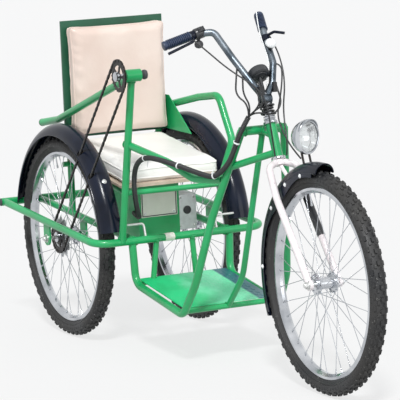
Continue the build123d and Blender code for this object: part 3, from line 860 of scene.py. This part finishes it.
def plate_shape(centre, along, y_offset, length, height, thickness):
    """A side plate with two round ends."""
    up = along.cross(ACROSS)
    outline = []
    for way in (1, -1):
        for i in range(7):
            turn = radians(-90 + 30 * i)
            outline.append(along * (way * (length / 2 + height / 2 * cos(turn)))
                           + up * (way * height / 2 * sin(turn)))
    sides = [ACROSS * (y_offset + way * thickness / 2) for way in (-1, 1)]
    return [centre + p + side for side in sides for p in outline], plate_faces(len(outline))


LINK_LENGTH = 12.7
total = 2 * (run_length + bend_length)
LINKS = 2 * round(total / (LINK_LENGTH * MM) / 2)
step = total / LINKS
plates, pins = [], []
for i in range(LINKS):
    place, heading = on_chain((i + 0.5) * step)
    offset = 2.5 if i % 2 else 1.5
    for way in (1, -1):
        plates.append(plate_shape(place, heading, way * offset * MM, step, 7.6 * MM, 0.9 * MM))
    joint_place, _ = on_chain(i * step)
    pins.append(turned([(0, -3.2), (1.7, -3.2), (1.7, 3.2), (0, 3.2)], joint_place, ACROSS, 8, False))
    pins.append(turned([(3.6, -1), (3.6, 1)], joint_place, ACROSS, 8, False))
piece("chain_links", joined(plates + pins), "black_steel", "frame", ties=["chain"])
print("links:", LINKS)

# %% [markdown]
# A sprocket is a toothed disc with windows cut out to save weight. Its outline is one wavy
# line, so the ring that made the spoke guard makes the teeth too. Five arms join it to the hub.

# %% Sprockets
TEETH = 24


def sprocket_shape(centre, bore):
    """A toothed rim, a hub ring round the bore, and five arms between them."""
    parts = [flat_ring(centre, TEETH * 8, lambda turn: 45.5 + 5.0 * (0.5 + 0.5 * cos(TEETH * turn)) ** 1.2,
                       36, 1.4),
             turned([(bore, -1.4), (bore + 8, -1.4), (bore + 8, 1.4), (bore, 1.4)], centre, ACROSS, 40)]
    for i in range(5):
        out, along = round_axle(2 * pi * i / 5)
        parts.append(brick(centre + out * (bore + 6 + 37) / 2 * MM, (along, out, ACROSS),
                           (9, 37 - bore - 5, 2.6)))
    return joined(parts)


for name, hub, bore, body in (("wheel_sprocket", low_hub, 17.2, "right_wheel"),
                              ("crank_sprocket", high_hub, 8.2, "hand_crank")):
    piece(name + "_teeth", sprocket_shape(hub, bore), "black_steel", body, ties=[name])
print("teeth:", TEETH)

# %% [markdown]
# The headlamp is a bright bowl, a bezel, and glass moulded in ribs that spread the beam. A
# closed bowl with a painted face would look blind, so a reflector and a bulb sit behind clear
# glass, and the light finds its own way in.

# %% Headlamp
LAMP_AT = spot(1254, 0, 766)
LAMP_YAW = radians(24)
lamp_dir = Vector((cos(LAMP_YAW), sin(LAMP_YAW), 0))


SHELL = [(0, -34), (14, -33.5), (26, -30), (36, -23), (44, -13), (49, -2), (51, 8), (51, 14), (48, 16),
         (47, 13), (46, 6), (45.5, 1), (41, -11), (33, -21), (22, -27.5), (0, -30)]
BEZEL = [(52.4, 6), (53, 9), (53, 13), (51.5, 16.5), (48, 17.5), (46, 16), (46.5, 14.6), (50, 13),
         (51.2, 6)]
BOWL = [(6, -21), (14, -19.5), (27, -13), (36, -3), (42, 8), (45, 12), (44, 12.6), (41, 8.6), (35, -2),
        (26, -12), (13.5, -18.5), (6, -20)]
BULB = [(0, 3), (2.5, 2.2), (4.4, 0), (4.8, -3), (3.6, -7), (2.8, -10), (4, -11), (4, -19), (0, -19)]
LAMP_RINGS = (("lamp_shell", SHELL, 48, False, "lamp_chrome", ["headlamp"]),
              ("lamp_bezel", BEZEL, 56, True, "chrome", ()),
              ("lamp_reflector", BOWL, 48, True, "reflector", ()),
              ("lamp_bulb", BULB, 20, False, "lens_glass", ()))
for name, profile, steps, closed, look, ties in LAMP_RINGS:
    shape = turned(profile, LAMP_AT, lamp_dir, steps, closed)
    piece(name, shape, look, "steering", ties=ties)

lens_across = lamp_dir.cross(UP)
RIB_STEP = 6.0
lens_verts = []
LENS_R, LENS_STEPS, LENS_RINGS = 47.5, 64, 14
for ring in range(LENS_RINGS + 1):
    for i in range(LENS_STEPS):
        turn = 2 * pi * i / LENS_STEPS
        radius = LENS_R * ring / LENS_RINGS
        across, up = radius * cos(turn), radius * sin(turn)
        rib = 0.9 * abs(sin(pi * across / RIB_STEP)) if radius < LENS_R - 3 else 0
        bulge = 7 * (1 - (radius / LENS_R) ** 2)
        lens_verts.append(LAMP_AT + (lamp_dir * (13 + bulge + rib) + lens_across * across + UP * up) * MM)
lens_faces = net(LENS_RINGS + 1, LENS_STEPS, False, True)
lens = piece("lamp_lens", (lens_verts, lens_faces), "lens_glass", "steering", smooth=20)
lens.modifiers.new("thickness", "SOLIDIFY").thickness = 2.2 * MM
VISOR_TURNS, VISOR_R = 15, 53.5
visor = []
for side_i in range(2):
    for i in range(VISOR_TURNS + 1):
        turn = radians(25 + 130 * i / VISOR_TURNS)
        reach = 16 + 9 * sin(pi * i / VISOR_TURNS) if side_i else 12
        rim = lens_across * (VISOR_R * cos(turn)) + UP * (VISOR_R * sin(turn))
        visor.append(LAMP_AT + (lamp_dir * reach + rim) * MM)
visor_piece = piece("lamp_visor", (visor, net(2, VISOR_TURNS + 1)), "lamp_chrome", "steering")
visor_piece.modifiers.new("skin", "SOLIDIFY").thickness = 1.2 * MM
print("lamp lens faces:", len(lens_faces))

# %% [markdown]
# The wires run in black corrugated conduit that follows the right-hand tubes. A smooth pipe
# with a bump map fails at its outline, where the rings show most. The route is one smooth
# curve through a few chosen points, and rings are lofted along it at an even step.

# %% Conduit and lamp cable
def along_route(route, gap):
    """Points at an even step along a smooth curve that a few control points steer."""
    curve = bpy.data.curves.new("route", "CURVE")
    curve.dimensions = "3D"
    curve.resolution_u = 24
    line = curve.splines.new("NURBS")
    line.points.add(len(route) - 1)
    for point, place in zip(line.points, route):
        point.co = (*spot(*place), 1)
    line.order_u = 3
    line.use_endpoint_u = True
    holder = placed("route", curve)
    data = bpy.data.meshes.new_from_object(holder)
    found = evenly([v.co.copy() for v in data.vertices], gap * MM)
    bpy.data.objects.remove(holder)
    bpy.data.meshes.remove(data)
    return found


def evenly(points, gap):
    """Points at an even step along a line of points."""
    found = [points[0]]
    left = gap
    for a, b in zip(points, points[1:]):
        length = (b - a).length
        travelled = 0.0
        while length - travelled >= left:
            travelled += left
            found.append(a.lerp(b, travelled / length))
            left = gap
        left -= length - travelled
    return found


CONDUIT = [(1028, -66, 812), (1011, -86, 768), (994, -96, 724), (972, -110, 668), (928, -136, 622),
           (860, -152, 628), (770, -178, 646), (690, -204, 660), (600, -214, 662), (520, -206, 636),
           (455, -189, 590), (446, -186, 520), (424, -166, 456), (340, -122, 428), (250, -92, 422),
           (200, -75, 422)]
RING_GAP = 1.2
conduit_line = along_route(CONDUIT, RING_GAP)
ring_radii = [8.5 if i % 4 in (0, 1) else 7.1 for i in range(len(conduit_line))]
rings = sweep(conduit_line, ring_radii, 14)
piece("conduit_rings", rings, "black_conduit", "frame", ties=["conduit"], smooth=50)

LAMP_CABLE = [(1002, 52, 962), (1052, 40, 962), (1100, 16, 935), (1112, 2, 880), (1098, -6, 820),
              (1128, -4, 768), (1178, 0, 722), (1228, 0, 698)]
skin = sweep(along_route(LAMP_CABLE, 4), 2.5, 12)
piece("lamp_cable_skin", skin, "black_conduit", "steering", ties=["lamp_cable"])
print("conduit rings:", len(conduit_line) // 4)

# %% [markdown]
# White zip ties hold the conduit to the rail. Each is a flat band with a square head and a
# cut tail, and it needs only the place along the conduit where it sits.

# %% Zip ties
TIES = (0.082, 0.21, 0.36, 0.52)


def tie_shape(place, heading, radius, roll):
    """A band round a tube, a head on it and a tail that sticks out."""
    first, second = square_to(heading)
    out = first * cos(roll) + second * sin(roll)
    band = [(radius, -2.3), (radius + 1.2, -2.3), (radius + 1.2, 2.3), (radius, 2.3)]
    side = heading.cross(out)
    head = place + out * (radius + 2.5) * MM
    tail_end = head + (side * 24 + out * 9 + heading * 3) * MM
    tail_axes = ((tail_end - head).normalized(), heading, out)
    return joined([turned(band, place, heading, 24),
                   brick(head, (side, heading, out), (7, 6.4, 4.4), 0.9),
                   brick((head + tail_end) / 2, tail_axes, (22, 3.6, 1.2))])


shapes = []
for i, share in enumerate(TIES):
    k = int(share * (len(conduit_line) - 2))
    heading = (conduit_line[k + 1] - conduit_line[k]).normalized()
    shapes.append(tie_shape(conduit_line[k], heading, 8.8, 0.6 + 1.3 * i))
piece("zip_ties", joined(shapes), "white_tie", "frame")
print("zip ties:", len(TIES))

# %% [markdown]
# The mudguards have a rolled edge, and the front one has white-headed bolts on its side flanges,
# which hang over the tyre's shoulders and reach lowest beside the fork.
# The edge is a bead along an arc beside the guard, so it is swept round part of a circle.

# %% Mudguard beads and bolts
def guard_arc(centre, y, radius, start, end):
    """Points along a guard's edge; the angles are from straight up, forward positive."""
    turns = [radians(start + (end - start) * i / 64) for i in range(65)]
    return [centre + Vector((sin(a), 0, cos(a))) * radius * MM + ACROSS * y * MM for a in turns]


beads = []
REAR_GUARD_R = 382
for side in (1, -1):
    for edge in (1, -1):
        line = guard_arc(spot(14, side * 236, WHEEL_R), edge * 37.5, REAR_GUARD_R - 36, -74, 80)
        beads.append(sweep(line, 2.6, 8))
piece("rear_guard_beads", joined(beads), "black_plastic", "frame")
front_centre = spot(1345, 0, WHEEL_R)
beads = [sweep(guard_arc(front_centre, edge * 31.5, 362 - 30.4, -113, 3), 2.4, 8) for edge in (1, -1)]
piece("front_guard_beads", joined(beads), "black_plastic", "steering")
flanges = []
FLANGE_STEPS = 60
for edge in (1, -1):
    verts = []
    for i in range(FLANGE_STEPS + 1):
        angle = -113 + 113 * i / FLANGE_STEPS
        deep = 16
        if -70 < angle < -10:
            deep += 22 * max(0.0, cos(radians((angle + 40) * 3))) ** 2
        out = Vector((sin(radians(angle)), 0, cos(radians(angle))))
        section = ((-1, 31.2), (0.25 * deep, 33.4), (deep, 33.8), (deep, 32.4), (0.25 * deep, 32.0))
        verts += [front_centre + (out * (334 - inward) + ACROSS * edge * y) * MM for inward, y in section]
    caps = [tuple(range(5)), tuple(reversed(range(5 * FLANGE_STEPS, 5 * FLANGE_STEPS + 5)))]
    flanges.append((verts, caps + net(FLANGE_STEPS + 1, 5, False, True)))
piece("front_guard_flanges", joined(flanges), "black_plastic", "steering", smooth=50)
bolts = []
for edge in (1, -1):
    for angle in (-88, -52, -30, -12):
        a = radians(angle)
        at = front_centre + Vector((sin(a) * 324, edge * 33.6, cos(a) * 324)) * MM
        bolts += bolt(at, ACROSS * edge, 6.5, 1.2, 4.6, 3.4)
piece("front_guard_bolts", joined(bolts), "white_tie", "steering")
bolts = []
for side in (1, -1):
    for x, z in ((-368, 425), (330, 560), (-300, 600)):
        reach = sqrt((x - 14) ** 2 + (z - WHEEL_R) ** 2)
        out = Vector(((x - 14) / reach, 0, (z - WHEEL_R) / reach))
        at = spot(14, side * 236, WHEEL_R) + out * (REAR_GUARD_R - 0.5) * MM
        bolts += bolt(at, out, 8, 1.2, 5, 3.2)
piece("rear_guard_bolts", joined(bolts), "zinc_steel", "frame")
print("guard bolts ready")

# %% [markdown]
# The steering turns in two bearing cups pressed into the head tube, with a lock ring on top and
# a wedge bolt in the stem. Their polished steps are what makes the neck look mechanical.

# %% Headset, stem and bar clamp
HEAD_X, HEAD_Z, HEAD_TILT = 1066, 735, radians(22)
head_down = Vector((sin(HEAD_TILT), 0, -cos(HEAD_TILT)))


def head_spot(along):
    return spot(HEAD_X, 0, HEAD_Z) + head_down * along * MM


UPPER_CUP = [(13.4, 0), (21, 0), (22, 1.5), (22, 7), (20, 9), (18, 9.5), (18, 12), (13.4, 12)]
piece("upper_cup", turned(UPPER_CUP, head_spot(-55), -head_down, 36), "chrome", "frame")
piece("lower_cup", turned(UPPER_CUP[:5] + [(13.4, 9)], head_spot(50), head_down, 36), "chrome", "frame")
lock = joined([hexagon(34, 8, head_spot(-69), -head_down),
               washer(18, 2, head_spot(-78), -head_down)])
piece("lock_nut", lock, "chrome", "steering", smooth=30)
clamp = [(11.4, -17), (17, -17), (18.5, -14), (18.5, 14), (17, 17), (11.4, 17)]
clamp = turned(clamp, head_spot(-135), ACROSS, 32)
piece("bar_clamp", clamp, "dark_chrome", "steering")
STEM_TOP = [(0, 0), (12.5, 0), (14, 3), (14, 22), (12, 26), (0, 26)]
wedge = joined([hexagon(13, 8, head_spot(-152), -head_down),
                turned(STEM_TOP, head_spot(-126), -head_down, 32, False)])
piece("stem_bolt", wedge, "chrome", "steering", smooth=30)
print("headset cups: 2")

# %% [markdown]
# The bell is a thin dome on a base with a thumb lever, and the clock beside it is a dial in a
# dark case. The dial carries plain ticks and two hands, which is how any small clock reads.

# %% Bell and clock
BELL = spot(958, 53, 1014)
bell_up = Vector((10, 0, 12)).normalized()
BELL_DOME = [(17, 0), (17.6, 1.5), (17.2, 5), (15.4, 10), (11.6, 14), (6.5, 16.6), (2.2, 17.4), (2.2, 19),
             (0, 19.2)]
bell = turned(BELL_DOME, BELL + bell_up * 8 * MM, bell_up, 36, False)
piece("bell_dome", bell, "white_tie", "steering", smooth=40)
CLOCK = spot(994, -7, 934)
clock_dir = Vector((-0.75, 0, 0.66)).normalized()
CLOCK_CASE = [(0, -11), (12, -11), (13, -13), (20, -13), (22, -11), (28, -11), (32.4, -8), (32.8, 8),
              (32, 12.5), (29, 13.6), (28, 12.6), (0, 12.6)]
CLOCK_DIAL = [(0, 12.7), (27.6, 12.7), (27.6, 13.2), (0, 13.2)]
stalk = sweep([CLOCK, head_spot(-143)], 6, 16)
bell_base = turned([(0, 0), (13, 0), (14, 2), (14, 7), (0, 7)], BELL, bell_up, 28, False)
case = joined([turned(CLOCK_CASE, CLOCK, clock_dir, 44, False), stalk, bell_base])
piece("clock_case", case, "dark_case", "steering", ties=["clock_and_bell"])
dial = turned(CLOCK_DIAL, CLOCK, clock_dir, 40, False)
piece("clock_dial", dial, "dial_white", "steering")
dial_up = Vector((0.66, 0, 0.75)).normalized()
dial_right = dial_up.cross(clock_dir)
marks = []
# Ticks and hands: angle, place from the middle, length, width, height over the dial
ticks = [(30 * i, 23, 5 if i % 3 == 0 else 3, 1.3, 13.4) for i in range(12)]
for angle, reach, length, width, lift in ticks + [(305, 6.5, 13, 1.8, 13.7), (60, 9.5, 19, 1.3, 13.7)]:
    out = dial_up * cos(radians(angle)) + dial_right * sin(radians(angle))
    marks.append(brick(CLOCK + clock_dir * lift * MM + out * reach * MM,
                       (clock_dir.cross(out), out, clock_dir), (width, length, 0.5)))
piece("clock_marks", joined(marks), "battery_case", "steering")
print("clock marks:", len(marks))

# %% [markdown]
# Thin cables leave the brake levers, bow forward and go down to the fork, and a white wire
# leaves the bar. They hang with slack, so each is one smooth curve with few points.

# %% Brake and control cables
CABLE_R, WIRE_R = 2.4, 2.8
RIGHT_CABLE = [(902, -178, 1046), (940, -150, 1010), (1010, -120, 960), (1072, -50, 900),
               (1084, -30, 850), (1104, -26, 740), (1104, -20, 692)]
LEFT_CABLE = [(930, 66, 1046), (965, 72, 1010), (1010, 68, 950), (1040, 56, 895),
              (1048, 44, 840), (1070, 34, 790), (1104, 24, 730), (1106, 18, 692)]
WHITE_WIRE = [(862, 62, 1112), (905, 44, 1062), (942, 42, 1012), (985, 34, 972), (1000, 18, 930),
              (1004, 12, 895)]
CABLES = (("right_brake_cable", RIGHT_CABLE, CABLE_R, "black_conduit", "black_conduit"),
          ("left_brake_cable", LEFT_CABLE, CABLE_R, "black_conduit", "black_conduit"),
          ("white_wire", WHITE_WIRE, 1.6, "white_tie", "plate_cream"))
for name, route, radius, look, slot_name in CABLES:
    piece(name, sweep(along_route(route, 5), radius, 10), look, "steering")
print("cables:", len(CABLES))

# %% [markdown]
# Where the conduit ends, its wires come out and rise to the switches on the bar. Spare wire is
# coiled round the stem, beside two plugs.

# %% Wires from the conduit to the bar
CONDUIT_TOP = (1028, -66, 812)
LOOSE_WIRES = ([CONDUIT_TOP, (1036, -60, 842), (1018, -76, 882), (1006, -70, 915), (984, -58, 948)],
               [CONDUIT_TOP, (1032, -66, 850), (998, -92, 878), (990, -84, 925), (972, -70, 958)],
               [CONDUIT_TOP, (1046, -44, 836), (1048, -34, 866), (1032, -40, 892)],
               [CONDUIT_TOP, (1042, -52, 832), (1052, -26, 846), (1040, -28, 878), (1014, -20, 914)],
               [CONDUIT_TOP, (1036, -50, 828), (1052, 8, 812), (1052, 38, 846), (1030, 36, 890),
                (1000, 36, 934)])
for i, route in enumerate(LOOSE_WIRES):
    wire = sweep(along_route(route, 4), WIRE_R, 10)
    bend = ("steering", spot(*route[0]), spot(*route[-1]))
    piece("loose_wire_%d" % (i + 1), wire, "black_conduit", "frame", bend=bend)
COIL_TURNS, COIL_STEPS = 4, 16
coil = []
for i in range(COIL_TURNS * COIL_STEPS + 1):
    share = i / (COIL_TURNS * COIL_STEPS)
    turn = 2 * pi * i / COIL_STEPS
    out = Vector((cos(HEAD_TILT), 0, sin(HEAD_TILT))) * cos(turn) + ACROSS * sin(turn)
    coil.append(head_spot(-84 - 36 * share) + out * (19 + 3 * sin(5 * turn / 3)) * MM)
wiring = [sweep(coil, WIRE_R, 10),
          brick(spot(1036, -24, 888), (AHEAD, ACROSS, UP), (14, 18, 26), 0.85),
          brick(spot(1030, 26, 896), (AHEAD, ACROSS, UP), (12, 14, 30), 0.85)]
piece("wire_coil", joined(wiring), "black_conduit", "steering")
print("loose wires:", len(LOOSE_WIRES))

# %% [markdown]
# The right-hand bar carries a switch housing with two buttons and a round knob that hangs below
# it, and a dark wrap painted as shade darkens the upper left fork leg. The housing clips round the
# bar, so its body is turned about the bar's line and a small block holds the buttons.

# %% Switch, knob and painted shade on the left fork leg
bar_line = (RIGHT_RUN[1] - RIGHT_RUN[0]).normalized()
switch_at = spot(883, -150, 1064)
switch_out = Vector((0.75, 0, 0.66))
switch_body = [(11.6, -15), (16.5, -15), (18, -12), (18, 12), (16.5, 15), (11.6, 15)]
switch_axes = (bar_line, bar_line.cross(switch_out), switch_out)
housing = [turned(switch_body, switch_at, bar_line, 28),
           brick(switch_at + switch_out * 17 * MM, switch_axes, (24, 18, 14), 0.8)]
for way in (-1, 1):
    button_at = switch_at + (switch_out * 23.5 + bar_line * way * 6) * MM
    housing.append(dome(3.6, 4, button_at, switch_out))
piece("bar_switch", joined(housing), "dark_case", "steering", smooth=30)
KNOB = [(0, 14), (5, 14), (5, 24), (9, 26), (13, 31), (14, 37), (12.5, 43), (8, 47), (0, 49)]
knob = turned(KNOB, spot(880, -150, 1066), -UP, 28, False)
piece("bar_knob", knob, "battery_case", "steering")
leg_top, leg_foot = spot(1157, 50, 578), spot(1345, 50, 337)
leg_line = leg_foot - leg_top
SHADE_WRAP_TURNS, TAPE_TURNS = 13, 4


def winding(radius, width, rise, start, axis, step, count):
    """Tape wound round a tube: overlapping bands, of which every other one stands prouder."""
    bands = []
    for i in range(count):
        proud = radius + rise[0] + rise[1] * (i % 2)
        section = [(radius, 0), (proud, rise[2]), (radius + rise[3], width), (radius, width + rise[4])]
        bands.append(turned(section, start + step * i, axis, 28))
    return joined(bands)


# Painted shade: a dark wrap that darkens the upper left fork leg where the mudguard's shadow falls.
shade_wrap = winding(11.2, 12, (0.8, 0.4, 0.6, 1.2, 0.8), leg_top + leg_line * 0.02, leg_line,
               leg_line * 0.035, SHADE_WRAP_TURNS)
piece("fork_shade_wrap", shade_wrap, "dark_case", "steering", smooth=50)
print("fork wrap turns:", SHADE_WRAP_TURNS)

# %% [markdown]
# Welds show as a puckered bead wherever tubes meet. A ring of small overlapping lumps gives
# that fish-scale look; a smooth collar would look like a casting.

# %% Weld beads
def weld_shape(place, axis, radius):
    """Lumps in a ring round a tube that ends against another."""
    axis = axis.normalized()
    first, second = square_to(axis)
    lumps = max(12, int(2 * pi * radius / LUMP_LENGTH))
    points, radii = [], []
    for i in range(lumps * 2):
        turn = pi * i / lumps
        points.append(place + (first * cos(turn) + second * sin(turn)) * radius * MM
                      + axis * random.uniform(-0.4, 0.4) * MM)
        radii.append(2.6 if i % 2 == 0 else 1.9)
    return sweep(points, radii, 8, closed=True)


LUMP_LENGTH = 3.4
# Each weld that shows: place, direction of the tube, the tube's radius
TUBE_JOINTS = []
for side in (1, -1):
    y = side * 172
    TUBE_JOINTS += [((715, side * 159, 176), (0, 1, 0), 9), ((404, side * 159, 224), (0, 1, 0), 9),
                    ((389, y, 350), (0, 0.05, -1), 12.5), ((388, y, 365), (1, 0, 0), 11.5),
                    ((-348, y, 420), (1, 0, 0), 11.5), ((992, side * 62, 765), (0, 1, 0), 14)]
TUBE_JOINTS += [((1010, 0, 765), (1, 0, 0), 12.5), ((715, 0, 187), (0, 0, 1), 9.5),
                ((985, 0, 750), (1, 0, 2.6), 9.5), ((404, -217, 378), (126, 0, 552), 12),
                ((524, -217, 894), (6, 0, 25), 12), ((411, -92, 358), (10, 0, -40), 9.3),
                ((411, 36, 358), (10, 0, -40), 9.3), ((458, -213, 690), (234, 35, -40), 12)]
shapes = [weld_shape(spot(*at), Vector(axis), radius + 0.6) for at, axis, radius in TUBE_JOINTS]
piece("weld_beads", joined(shapes), "weld", "frame", smooth=80)
print("welds:", len(shapes))

# %% [markdown]
# The footboard's checker pattern stands up in lozenges laid alternately left and right. They
# are worn flat on the right, so they only show on the left half, as on the real board.

# %% Checker lozenges
BOARD_FRONT, BOARD_REAR = (715, 180), (394, 228)
board_line = Vector((BOARD_REAR[0] - BOARD_FRONT[0], 0, BOARD_REAR[1] - BOARD_FRONT[1]))
board_along = board_line.normalized()
board_up = upward(ACROSS.cross(board_along))
board_low, board_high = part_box("footboard")
across_low, across_high = board_low[1] / MM + 8, board_high[1] / MM - 8
board_length = board_line.length
board_front_top = spot(BOARD_FRONT[0], 0, BOARD_FRONT[1]) + board_up * 9 * MM
GRID, WORN_TO = 17, 16


def lozenge(centre, long_axis, up):
    short_axis = long_axis.cross(up)
    verts = []
    for half_long, half_short, lift in ((8, 2.6, 0), (6, 1.6, 0.9)):
        for a, b in ((-half_long, 0), (0, -half_short), (half_long, 0), (0, half_short)):
            verts.append(centre + (long_axis * a + short_axis * b + up * lift) * MM)
    return verts, plate_faces(4)


shapes = []
for i in range(int(board_length / GRID) - 1):
    for j in range(int((across_high - across_low) / GRID)):
        y = across_low + (j + 0.7) * GRID
        if y < WORN_TO:
            continue
        direction = (board_along + ACROSS * (1 if (i + j) % 2 else -1)).normalized()
        place = board_front_top + board_along * ((i + 1) * GRID * MM) + ACROSS * y * MM
        shapes.append(lozenge(place, direction, board_up))
piece("checker_lozenges", joined(shapes), "checker_plate", "frame", smooth=15)
print("lozenges:", len(shapes))

# %% [markdown]
# The sign plate is held by four screws and has a dark painted border round a bare field. The
# control box beside it shows a dark socket. All of it is thin trim laid on the plate's face.

# %% Sign plate and control box trim
sign_low, sign_high = (Vector(corner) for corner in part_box("sign_plate"))
sign_middle = (sign_low + sign_high) / 2
face_x = sign_high.x
half_y = (sign_high.y - sign_low.y) / 2 / MM
half_z = (sign_high.z - sign_low.z) / 2 / MM
strips = []
EDGE, STRIP, SCREW_EDGE = 4, 3, 12
sign_face = Vector((face_x, sign_middle.y, sign_middle.z))
for side in (-1, 1):
    for shift, size in ((UP * (half_z - EDGE), (2 * half_y - 4, STRIP, 0.8)),
                        (ACROSS * (half_y - EDGE), (STRIP, 2 * half_z - 8, 0.8))):
        strips.append(brick(sign_face + (AHEAD * 0.3 + shift * side) * MM, (ACROSS, UP, AHEAD), size))
piece("sign_border", joined(strips), "dark_case", "frame")
screws = []
for y in (-1, 1):
    for z in (-1, 1):
        shift = ACROSS * y * (half_y - SCREW_EDGE) + UP * z * (half_z - SCREW_EDGE)
        screws += bolt(sign_face + shift * MM, AHEAD, 4.5, 0.6, 3.4, 2)
piece("sign_screws", joined(screws), "zinc_steel", "frame")
box_low, box_high = (Vector(corner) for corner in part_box("control_box"))
box_size = box_high - box_low
socket_at = Vector((box_high.x, (box_low.y + box_high.y) / 2, box_low.z * 0.45 + box_high.z * 0.55))
SOCKET = [(0, 0), (14, 0), (14, 2.5), (11, 3.2), (10.4, 1), (0, 0.8)]
piece("control_socket", turned(SOCKET, socket_at, AHEAD, 32, False), "battery_case", "frame")
screws = []
for y in (0.14, 0.86):
    for z in (0.1, 0.9):
        at = Vector((box_high.x, box_low.y + box_size.y * y, box_low.z + box_size.z * z))
        screws += bolt(at, AHEAD, 4, 0.6, 3, 2)
piece("control_screws", joined(screws), "zinc_steel", "frame")
print("sign and box trim ready")

# %% [markdown]
# Open tube ends are closed with ribbed plastic plugs, and a pale tape is wound on the front bar.
# Both are close to a plain cylinder, so their ribs and overlapping turns do the work.

# %% Plugs and tape
PLUG = [(0, 0), (12.5, 0), (13.1, 1), (13.1, 3), (11.5, 5), (7.5, 6.2), (0, 6.4)]
PLUGS = [((-361.5, 320, 420), (0, 1, 0)), ((-361.5, -320, 420), (0, -1, 0)),
         ((-232, -204, 700), (-140, 1, -22)), ((-62, 206, 742), (-212, 0, -40))]
plugs = [turned(PLUG, spot(*at), Vector(axis), 24, False) for at, axis in PLUGS]
piece("tube_plugs", joined(plugs), "battery_case", "frame", smooth=40)
tape = winding(12.7, 9, (0.5, 0.3, 0.4, 0.9, 0.6), spot(400, -64, 364), ACROSS, ACROSS * 8 * MM, TAPE_TURNS)
piece("bar_tape", tape, "plate_cream", "frame", smooth=50)
CRANK_KNOB = [(0, 0), (7, 0), (9, 3), (15, 8), (16, 13), (14, 19), (8, 22), (0, 23)]
knob = turned(CRANK_KNOB, spot(536, -188, 916), ACROSS, 28, False)
piece("crank_knob", knob, "battery_case", "hand_crank")
print("plugs:", len(plugs))
